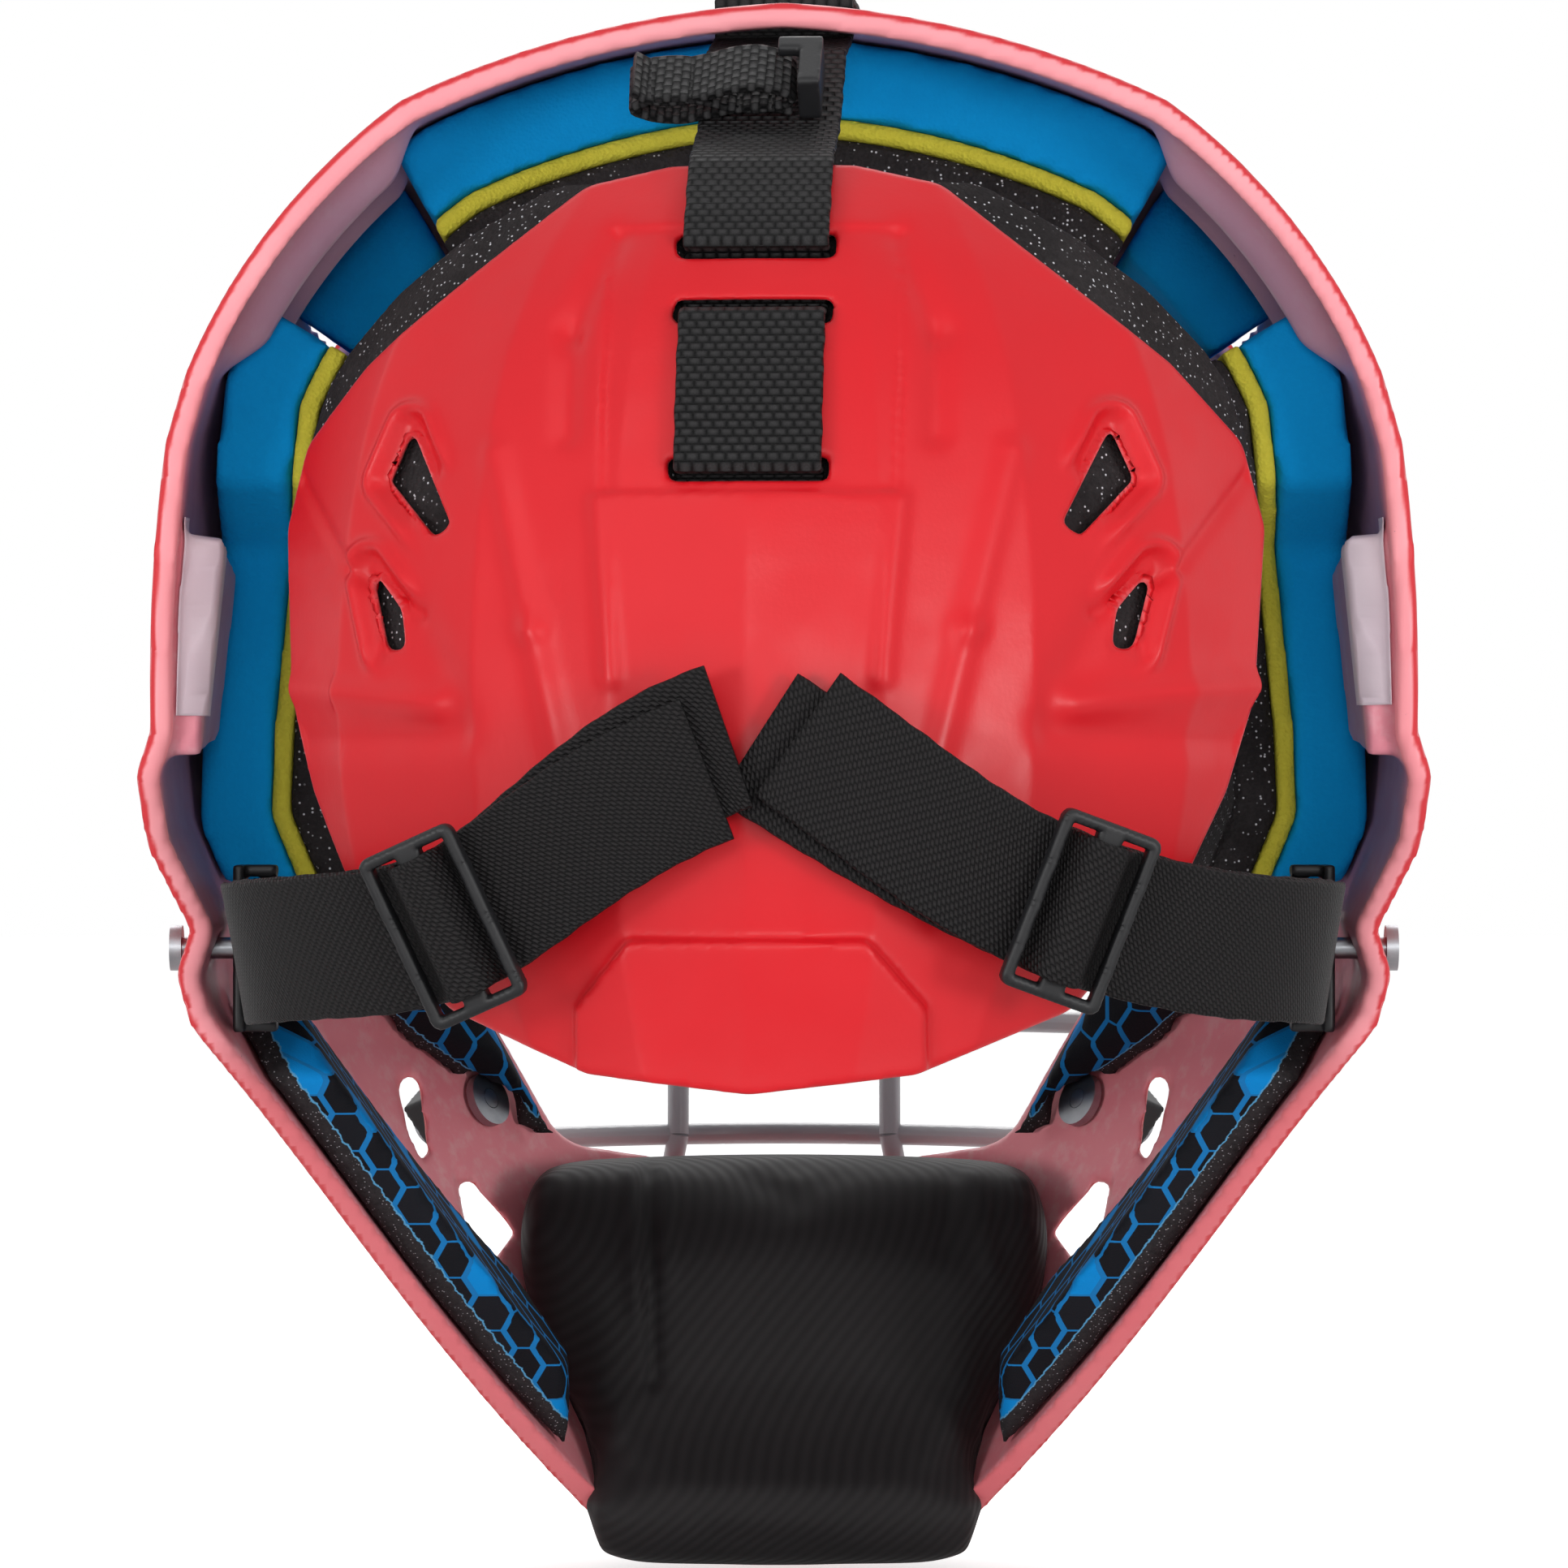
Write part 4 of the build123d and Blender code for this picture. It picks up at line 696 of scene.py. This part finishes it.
def interpolated(points, count):
    """A smooth line through the points, the same number of steps along each stretch."""
    points = np.asarray(points, dtype=float)
    steps = np.linalg.norm(np.diff(points, axis=0), axis=1)
    knots = np.concatenate([[0], np.cumsum(steps)])
    n = len(points)
    matrix, right = np.zeros((n, n)), np.zeros((n, points.shape[1]))

    def end_slope(indices, at):
        """The slope at one point of the cubic through four."""
        slope = np.zeros(points.shape[1])
        for i in indices:
            others = [j for j in indices if j != i]
            scale = np.prod([knots[i] - knots[j] for j in others])
            rate = 0.0
            for skip in others:
                rate += np.prod([knots[at] - knots[j] for j in others if j != skip])
            slope += points[i] * rate / scale
        return slope

    matrix[0, 0] = matrix[-1, -1] = 1
    right[0] = end_slope(range(4), 0)
    right[-1] = end_slope(range(n - 4, n), n - 1)
    for i in range(1, n - 1):
        a, b = steps[i - 1], steps[i]
        matrix[i, i - 1], matrix[i, i], matrix[i, i + 1] = 1 / a, 2 / a + 2 / b, 1 / b
        before, after = (points[i] - points[i - 1]) / a ** 2, (points[i + 1] - points[i]) / b ** 2
        right[i] = 3 * (before + after)
    slopes = np.linalg.solve(matrix, right)
    line = []
    for i in range(n - 1):
        h = steps[i]
        for t in np.linspace(0, 1, count, endpoint=False):
            t2, t3 = t * t, t * t * t
            line.append(
                (2 * t3 - 3 * t2 + 1) * points[i] + (t3 - 2 * t2 + t) * h * slopes[i]
                + (3 * t2 - 2 * t3) * points[i + 1] + (t3 - t2) * h * slopes[i + 1]
            )
    line.append(points[-1])
    return np.array(line)


def lengths_along(line):
    """How far along the line each of its points lies."""
    return np.concatenate([[0], np.cumsum(np.linalg.norm(np.diff(line, axis=0), axis=1))])


def at_lengths(at, lengths, values):
    """The values, given along a line, at other lengths along it."""
    return np.stack([np.interp(at, lengths, column) for column in values.T], axis=-1)


def resampled(line, values, spacing):
    """The line and the values along it at even steps."""
    lengths = lengths_along(line)
    at = np.linspace(0, lengths[-1], max(int(lengths[-1] / spacing), 2))
    return at_lengths(at, lengths, line), at_lengths(at, lengths, values), at


# Points across each face of a strap, and round each rounded selvedge, as angles.
FACE_POINTS, SELVEDGE_ANGLES = 13, (0.8, 0, -0.8)
# A slight unevenness of the selvedges: its size in mm and how quickly two waves turn per mm.
RIPPLE, RIPPLE_TURNS = 0.12, (0.9, 0.23)


def strap(name, line, acrosses, width, thickness, spacing=1.2):
    """A flat strap in mm along a line, rounded at its selvedges, with a flat map for its weave."""
    line, acrosses, at = resampled(np.asarray(line, float), np.asarray(acrosses, float), spacing)
    heading = unit(np.gradient(line, axis=0))
    acrosses = unit(acrosses - heading * dot(acrosses, heading)[:, None])
    normals = np.cross(heading, acrosses)
    half, thick = width / 2, thickness / 2
    flat_half = half - thick
    steps = np.linspace(-1, 1, FACE_POINTS)
    selvedge = [(flat_half + thick * math.cos(a), thick * math.sin(a)) for a in SELVEDGE_ANGLES]
    profile = [(flat_half * s, thick) for s in steps] + selvedge
    profile += [(flat_half * s, -thick) for s in reversed(steps)]
    profile += [(-u, v) for u, v in reversed(selvedge)]
    around = lengths_along(np.array(profile))
    ring = len(profile)
    wave = RIPPLE * np.sin(at * RIPPLE_TURNS[0]) * np.sin(at * RIPPLE_TURNS[1])
    vertices = []
    for i in range(len(line)):
        for u, v in profile:
            edge = abs(u) / half
            vertices.append((line[i] + acrosses[i] * (u + wave[i] * edge) + normals[i] * v) * MM)
    faces, uvs = [], []
    for i in range(len(line) - 1):
        for j in range(ring):
            k = (j + 1) % ring
            faces.append((i * ring + j, i * ring + k, (i + 1) * ring + k, (i + 1) * ring + j))
            u0, u1 = around[j], around[k] if k else around[-1] + thick
            uvs += [(u0, at[i]), (u1, at[i]), (u1, at[i + 1]), (u0, at[i + 1])]
    last = (len(line) - 1) * ring
    for first, flip in ((0, True), (last, False)):
        cap = [first + j for j in range(ring)]
        faces.append(tuple(reversed(cap)) if flip else tuple(cap))
        uvs += [(0.0, 0.0)] * ring
    mesh = bpy.data.meshes.new(name)
    mesh.from_pydata([tuple(v) for v in vertices], [], faces)
    layer = mesh.uv_layers.new(name="weave_mm")
    layer.data.foreach_set("uv", np.array(uvs, dtype=np.float32).ravel())
    piece = bpy.data.objects.new(name, mesh)
    bpy.context.collection.objects.link(piece)
    smooth_shading(piece)
    return piece


# Half the helmet's width, how far back the crown reaches and how far down the chin lies, in mm.
HALF_WIDTH, CROWN_REACH, CHIN_DROP = 117.0, 48.0, 172.0
ELASTIC_WIDTH, ELASTIC_THICKNESS, ELASTIC_GAP = 25.4, 1.4, 0.5
# Places across, behind and up, as shares of half the width, the crown's reach and the chin's
# drop, and how far the strap's width leans from upright, in degrees.
ELASTIC_SHARES = [
    (0.02, 0, -0.095, 31),
    (0.25, -0.045, -0.19, 31),
    (0.48, -0.19, -0.277, 31),
    (0.67, -0.42, -0.303, 23),
    (0.78, -0.75, -0.31, 10),
    (0.81, -1.25, -0.316, 3),
    (0.785, -2.277, -0.318, 0),
]
# How much of its lift over the other strap each place keeps.
LIFT_SHARES = [1, 0.9, 0.35, 0, 0, 0, 0]
# How far back the plate's face lies and how far the hook tape on it lifts the straps. The left
# strap lies over the right one.
PLATE_BACK_Y, PATCH_RISE = 121.2, 2.5
PAIR_GAP = ELASTIC_THICKNESS + ELASTIC_GAP
ELASTIC_LIFT = {1: 2 * PAIR_GAP, -1: 0}
# The buckle's place along the strap, its thickness, the play round its bar and the bar's width.
BUCKLE_SHARE = 0.325
BUCKLE_THICKNESS, BUCKLE_GAP, BUCKLE_BAR = 2.2, 1.5, 4.0
BAR_LIFT = PAIR_GAP + ELASTIC_THICKNESS + 2 * BUCKLE_GAP + BUCKLE_THICKNESS
# The outer layer climbs to the buckle's bar over this length.
RISE_LENGTH = 4.6
# Each strap turns back round its bracket's bar.
BRACKET_BAR_RADIUS = 1.5
TURN_RADIUS = BRACKET_BAR_RADIUS + 2 * ELASTIC_GAP + ELASTIC_THICKNESS / 2
# Where the loose tail ends along the strap, and how far it drifts aside.
TAIL_SHARE, TAIL_DRIFT = 0.03, 4.0
# From here on a strap's two layers part, up to the bar.
OPENING_SHARE = 0.75
# Points along the way out, round the bar and back, and between two places of the route.
OUT_COUNT, TURN_COUNT, BACK_COUNT, CURVE_COUNT = 60, 12, 130, 40
# How far either way along its line a strap's heading is taken, as a share of its length.
HEADING_SHARE = 0.004
# A buckle's rails lose this much to the remeshing and get it back.
BUCKLE_SWELL = 0.35 * MM
# Between the buckle and its bracket, where each strap would stretch when the plate swings, in
# metres.
STRETCH_START = {side: (side * 0.075, 0.105, -0.0515) for side in (1, -1)}
STRETCH_END = {side: (side * 0.0918, 0.016, -0.0547) for side in (1, -1)}


def turned_point(x, y, z):
    """A point on the plate or its straps as they hang, turned about the crown slot."""
    c, s, back = math.cos(PLATE_TURN), math.sin(PLATE_TURN), y - SLOT_Y
    return np.array([x * c - back * s, SLOT_Y + x * s + back * c, z])


def elastic_line(side):
    points = []
    for (x, y, z, _), lift in zip(ELASTIC_SHARES, LIFT_SHARES):
        back = PLATE_BACK_Y + PATCH_RISE + y * CROWN_REACH + ELASTIC_LIFT[side] * lift
        place = (side * x * HALF_WIDTH, back, z * CHIN_DROP)
        points.append(turned_point(*place) if lift > LIFT_SHARES[2] else np.array(place))
    return interpolated(points, CURVE_COUNT)


def elastic_frame(line, lengths, side, share):
    """A point on the line, its heading, its outward side and its width's direction."""
    at, step = share * lengths[-1], HEADING_SHARE * lengths[-1]
    point = at_lengths(at, lengths, line)
    heading = unit(at_lengths(at + step, lengths, line) - at_lengths(at - step, lengths, line))
    leans = [row[3] for row in ELASTIC_SHARES]
    last = len(leans) - 1
    lean = math.radians(np.interp(share * last, range(last + 1), leans))
    upright = np.array([side * math.sin(lean), 0, math.cos(lean)])
    across = unit(upright - heading * (upright @ heading))
    return point, heading, unit(np.cross(heading, across) * -side), across


def elastic_strap(side, name):
    line = elastic_line(side)
    lengths = lengths_along(line)
    points, acrosses = [], []
    for share in np.linspace(0, 1, OUT_COUNT):
        point, _, _, across = elastic_frame(line, lengths, side, share)
        points.append(point)
        acrosses.append(across)
    end, heading, outward, across = elastic_frame(line, lengths, side, 1)
    for step in range(1, TURN_COUNT):
        angle = math.pi * step / TURN_COUNT
        rise = outward * TURN_RADIUS * (1 - math.cos(angle))
        points.append(end + rise + heading * TURN_RADIUS * math.sin(angle))
        acrosses.append(across)
    _, _, bar_outward, bar_across = elastic_frame(line, lengths, side, BUCKLE_SHARE)
    ramp_end = BUCKLE_BAR / 2 + RISE_LENGTH
    drift_start = BUCKLE_SHARE - ramp_end / lengths[-1]
    for share in np.linspace(1, TAIL_SHARE, BACK_COUNT):
        point, _, outward, across = elastic_frame(line, lengths, side, share)
        away = abs(share - BUCKLE_SHARE) * lengths[-1]
        near = 1 - float(smooth_step(away, ramp_end, 2 * ramp_end))
        outward = unit(outward + (bar_outward - outward) * near)
        across = unit(across + (bar_across - across) * near)
        opening = float(smooth_step(share, OPENING_SHARE, 1.0))
        lift = PAIR_GAP + (2 * TURN_RADIUS - PAIR_GAP) * opening
        over = 1 - float(smooth_step(away, BUCKLE_BAR / 2, ramp_end))
        lift += (BAR_LIFT - lift) * over
        drift = TAIL_DRIFT * float(smooth_step((drift_start - share) / drift_start, 0, 1))
        points.append(point + outward * lift - across * side * drift)
        acrosses.append(across)
    return strap(name, points, acrosses, ELASTIC_WIDTH, ELASTIC_THICKNESS)


for side, hand in ((1, "left"), (-1, "right")):
    piece = elastic_strap(side, f"{hand}_elastic")
    dress(piece, f"{hand}_side_strap", "elastic_webbing",
          ("rear_plate_body", "helmet", STRETCH_START[side], STRETCH_END[side]))
    buckle = moulded_copy(f"{hand}_buckle", voxel_mm=0.4, rounds=3, name=f"{hand}_slide_buckle")
    move_vertices(buckle, coordinates(buckle) + vertex_normals(buckle) * BUCKLE_SWELL)
    dress(buckle, f"{hand}_buckle", "black_nylon")
    anchor = moulded_copy(f"{hand}_strap_anchor", voxel_mm=0.5, rounds=2, name=f"{hand}_bracket")
    dress(anchor, f"{hand}_strap_anchor", "black_nylon")

# The crown strap's route in side view, from its end over the crown to its tail, in mm.
CROWN_ROUTE = [
    (-7, 117.6), (4, 118.6), (20.2, 119.05), (31, 118.7), (31, 111.4), (50.2, 106.8),
    (67.1, 92), (85.7, 84.5), (93.7, 74.9), (98, 68.7), (92.3, 68.7), (100.6, 57),
    (106.3, 57), (112.7, 43.2), (116.8, 29.4), (111.1, 29.4), (112.8, 20.4),
]
WEBBING_WIDTH, WEBBING_THICKNESS, WEBBING_STEP = 25.4, 1.5, 0.8
# Its corners are rounded over this length either way, on points this far apart.
CORNER_REACH, CORNER_STEP = 1.4, 0.4
# Where it would bend on leaving its slot in the shell when the plate swings, in metres.
CROWN_BEND_START, CROWN_BEND_END = (0, 0.024, 0.1187), (0, 0.034, 0.111)


def rounded(points):
    """The line with its corners rounded, by a running mean over a few mm."""
    points = np.asarray(points, dtype=float)
    line, _, _ = resampled(points, points, CORNER_STEP)
    count = int(CORNER_REACH / CORNER_STEP)
    means = []
    for i in range(len(line)):
        reach = min(count, i, len(line) - 1 - i)
        means.append(line[i - reach:i + reach + 1].mean(axis=0))
    return np.array(means)


PLATE_ACROSS = np.array([math.cos(PLATE_TURN), math.sin(PLATE_TURN), 0])
crown_line = rounded([(0, y, z) for y, z in CROWN_ROUTE])
crown_points = np.array([turned_point(*point) for point in crown_line])
crown_acrosses = np.tile(PLATE_ACROSS, (len(crown_points), 1))
crown_strap = strap("crown_webbing", crown_points, crown_acrosses,
                    WEBBING_WIDTH, WEBBING_THICKNESS, WEBBING_STEP)
dress(crown_strap, "crown_strap", "nylon_webbing",
      ("helmet", "rear_plate_body", CROWN_BEND_START, CROWN_BEND_END))

# The strap's tail, folded in layers across it. The line is along and out from its middle, in mm.
FOLD_WIDTH, FOLD_THICKNESS, FOLD_COUNT = 13.4, 1.4, 6
keeper_low, keeper_high = [np.array(corner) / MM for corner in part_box("strap_keeper")]
keeper_middle = (keeper_low + keeper_high) / 2
# Down the strap's slope, and square out from it.
fold_across = unit(np.array([0, 0.754, -0.657]))
fold_out = unit(np.array([0, 0.657, 0.754]))
FOLD_LINE = [
    (-14, -2.1), (0, -2.2), (13.4, -2.1), (14.6, -1.2), (13.6, -0.3), (0, -0.1),
    (-12.6, -0.2), (-14, 0.8), (-12.8, 1.9), (0, 2.0), (14.4, 2.3),
]
fold_points = [keeper_middle + PLATE_ACROSS * a + fold_out * b for a, b in FOLD_LINE]
fold_line = interpolated(fold_points, FOLD_COUNT)
keeper = strap("folded_webbing", fold_line, [fold_across] * len(fold_line),
               FOLD_WIDTH, FOLD_THICKNESS, WEBBING_STEP)
dress(keeper, "strap_keeper", "nylon_webbing")

SMALL_PIECES = [("strap_hook", 0.4, "tail_hook"), ("cage_clips", 0.6, "cage_saddles")]
for node_name, voxel_mm, name in SMALL_PIECES:
    dress(moulded_copy(node_name, voxel_mm, rounds=3, name=name), node_name, "black_nylon")

# The chin cushion

PRESSURE, SWELL_CAP, CLOTH_QUALITY, CLOTH_FRAMES = 4.0, 2.5 * MM, 5, 20


def swollen(piece):
    """Blows the piece up a little as cloth, with no point moved further than the cap."""
    before = coordinates(piece)
    cloth = piece.modifiers.new("cloth", "CLOTH")
    cloth.settings.use_pressure = True
    cloth.settings.uniform_pressure_force = PRESSURE
    cloth.settings.effector_weights.gravity = 0
    cloth.settings.quality = CLOTH_QUALITY
    scene = bpy.context.scene
    for step in range(CLOTH_FRAMES):
        scene.frame_set(step + 1)
    after_mesh = evaluated_mesh(piece)
    piece.modifiers.clear()
    piece.data = after_mesh
    scene.frame_set(1)
    moved = coordinates(piece) - before
    far = np.linalg.norm(moved, axis=1, keepdims=True)
    move_vertices(piece, before + moved * np.minimum(1, SWELL_CAP / np.maximum(far, 1e-9)))


chin = moulded_copy("chin_pad", voxel_mm=4.5, rounds=4, name="chin_cushion")
swollen(chin)
subdivide = chin.modifiers.new("subdivide", "SUBSURF")
subdivide.levels = subdivide.render_levels = 2
apply_modifiers(chin)
smooth_shading(chin)
# Creases and folds in the cloth, each with its ends across and up, its half width and its rise,
# in mm.
CHIN_CREASES = [
    ((27.5, -100), (25.5, -142), 1.6, -1.3),
    ((30.5, -101), (29, -128), 2.0, 0.9),
    ((24.0, -101), (23, -122), 1.8, 0.7),
    ((-34, -101), (-32, -116), 2.4, -0.7),
    ((-38, -102), (-41, -120), 2.2, 0.6),
    ((12, -172), (-8, -174), 3.0, -0.5),
]
places, normals = coordinates(chin), vertex_normals(chin)
seen = places[:, [0, 2]] / MM
height = np.zeros(len(places))
for start, end, width, rise in CHIN_CREASES:
    distance = segment_distance(seen, np.array(start), np.array(end))
    height += rise * np.exp(-(distance / width) ** 2)
height *= smooth_step(normals[:, 1], 0.0, 0.5) * MM
move_vertices(chin, places + normals * height[:, None])
dress(chin, "chin_pad", "pad_fabric")

# What keeps its own solid takes a fuller material.
SCREWS_AND_NUTS = ["cage_screws", "cage_nuts", "anchor_screws", "crown_screw", "crown_nut"]
for node_name in ["face_cage"] + SCREWS_AND_NUTS:
    target = frame["nodes"][node_name]
    slot = slot_of[node_name]
    for entry in target.material_slots:
        entry.material = materials[slot]
patch = moulded_copy("strap_patch", voxel_mm=0.5, rounds=2, name="hook_tape_patch")
dress(patch, "strap_patch", "hook_tape")

# Bare label strips inside the rim, laid on the shell: where they lie along and up, in mm, and
# how they are made.
LABEL_Y, LABEL_TOP, LABEL_LOW = (33.5, 41), 24, {1: -12, -1: -10}
LABEL_ROWS, LABEL_COLUMNS, LABEL_LIFT, LABEL_THICKNESS = 60, 14, 0.55 * MM, 0.15 * MM
# How far out the rays start that find the wall.
INSIDE_X = 70


def label(side, name):
    vertices = []
    for z in np.linspace(LABEL_TOP, LABEL_LOW[side], LABEL_ROWS):
        for y in np.linspace(*LABEL_Y, LABEL_COLUMNS):
            start = Vector((side * INSIDE_X, y, z)) * MM
            hit, normal, _, _ = shell_tree.ray_cast(start, Vector((side, 0, 0)))
            vertices.append(hit + normal * LABEL_LIFT)
    faces = []
    for i in range(LABEL_ROWS - 1):
        for j in range(LABEL_COLUMNS - 1):
            a = i * LABEL_COLUMNS + j
            faces.append((a, a + 1, a + LABEL_COLUMNS + 1, a + LABEL_COLUMNS))
    mesh = bpy.data.meshes.new(name)
    mesh.from_pydata(vertices, [], faces)
    piece = bpy.data.objects.new(name, mesh)
    bpy.context.collection.objects.link(piece)
    smooth_shading(piece)
    thicken = piece.modifiers.new("thicken", "SOLIDIFY")
    thicken.thickness = LABEL_THICKNESS
    thicken.offset = 0
    apply_modifiers(piece)
    piece.data.materials.append(materials["label"])
    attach(piece, body_of["front_shell"])


label(1, "left_label_strip")
label(-1, "right_label_strip")

# Floor, light and camera

# The floor's half size and how far it lies under the part, in metres, and its glow to the camera.
FLOOR_HALF, FLOOR_DROP, FLOOR_GLOW = 6.0, 0.004, 0.55
# How bright the world is as a light. The camera sees it white.
WORLD_STRENGTH = 0.46
# Each lamp's name, place, target, size and power.
LAMPS = [
    ("key", (0.7, 1.3, 0.9), (0, 0, 0), 0.9, 2.4),
    ("fill", (-0.9, 1.2, 0.5), (0, 0, 0), 0.9, 1.8),
    ("axis", (0, 1.9, 0.25), (0, 0, 0), 0.5, 4.5),
    ("low_left", (1.0, 1.2, -0.06), (0, 0, -0.08), 0.4, 6),
    ("low_right", (-1.0, 1.2, -0.06), (0, 0, -0.08), 0.4, 6),
    ("front", (0, -1.2, 1.0), (0, 0, 0), 1.2, 9),
]
# The camera's place in metres, its focal length and sensor in mm, and how far it sees.
CAMERA_Y, CAMERA_Z, FOCAL_LENGTH, SENSOR_WIDTH, CLIP_END = 1.332, -0.0244, 163.7, 36, 20


def floor_material():
    material, tree, shader, place = new_material("pale_floor", roughness=0.9)
    rays = node(tree, "ShaderNodeLightPath", None, 0)
    tone = noise(tree, place, size_mm=400, detail=1)
    colour = blend_colours(tree, tone, linear("F4F4F4"), linear("FAFAFA"))
    finish_material(tree, shader, colour)
    shader.inputs["Emission Color"].default_value = [1, 1, 1, 1]
    glow = maths(tree, "MULTIPLY", rays, FLOOR_GLOW)
    tree.links.new(glow, shader.inputs["Emission Strength"])
    return material


def make_floor():
    level = cad_box[0][2] - FLOOR_DROP
    mesh = bpy.data.meshes.new("floor")
    square = ((-1, -1), (1, -1), (1, 1), (-1, 1))
    corners = [(x * FLOOR_HALF, y * FLOOR_HALF, level) for x, y in square]
    mesh.from_pydata(corners, [], [(0, 1, 2, 3)])
    mesh.materials.append(floor_material())
    floor = bpy.data.objects.new("floor", mesh)
    bpy.context.collection.objects.link(floor)


def soft_world():
    """White to the camera and in reflections, dimmer as a light."""
    world = bpy.data.worlds.new("studio")
    bpy.context.scene.world = world
    world.use_nodes = True
    tree = world.node_tree
    background = tree.nodes["Background"]
    background.inputs["Color"].default_value = [1, 1, 1, 1]
    kinds = ("Is Camera Ray", "Is Glossy Ray", "Is Transmission Ray")
    rays = [node(tree, "ShaderNodeLightPath", None, kind) for kind in kinds]
    seen = maths(tree, "MAXIMUM", rays[0], maths(tree, "MAXIMUM", rays[1], rays[2]))
    level = maths(tree, "MULTIPLY_ADD", seen, 1 - WORLD_STRENGTH, WORLD_STRENGTH)
    tree.links.new(level, background.inputs["Strength"])


def area_light(name, place, target, size, power):
    lamp = bpy.data.lights.new(name, "AREA")
    lamp.shape = "DISK"
    lamp.size = size
    lamp.energy = power
    holder = bpy.data.objects.new(name, lamp)
    holder.location = place
    aim = Vector(target) - Vector(place)
    holder.rotation_euler = aim.to_track_quat("-Z", "Y").to_euler()
    bpy.context.collection.objects.link(holder)


make_floor()
soft_world()
for lamp in LAMPS:
    area_light(*lamp)

camera_data = bpy.data.cameras.new("camera")
camera_data.lens = FOCAL_LENGTH
camera_data.sensor_width = SENSOR_WIDTH
camera_data.clip_end = CLIP_END
camera = bpy.data.objects.new("camera", camera_data)
camera.location = (0, CAMERA_Y, CAMERA_Z)
camera.rotation_euler = (math.radians(90), 0, math.radians(180))
bpy.context.collection.objects.link(camera)
bpy.context.scene.camera = camera

bpy.context.scene.view_settings.view_transform = "Standard"
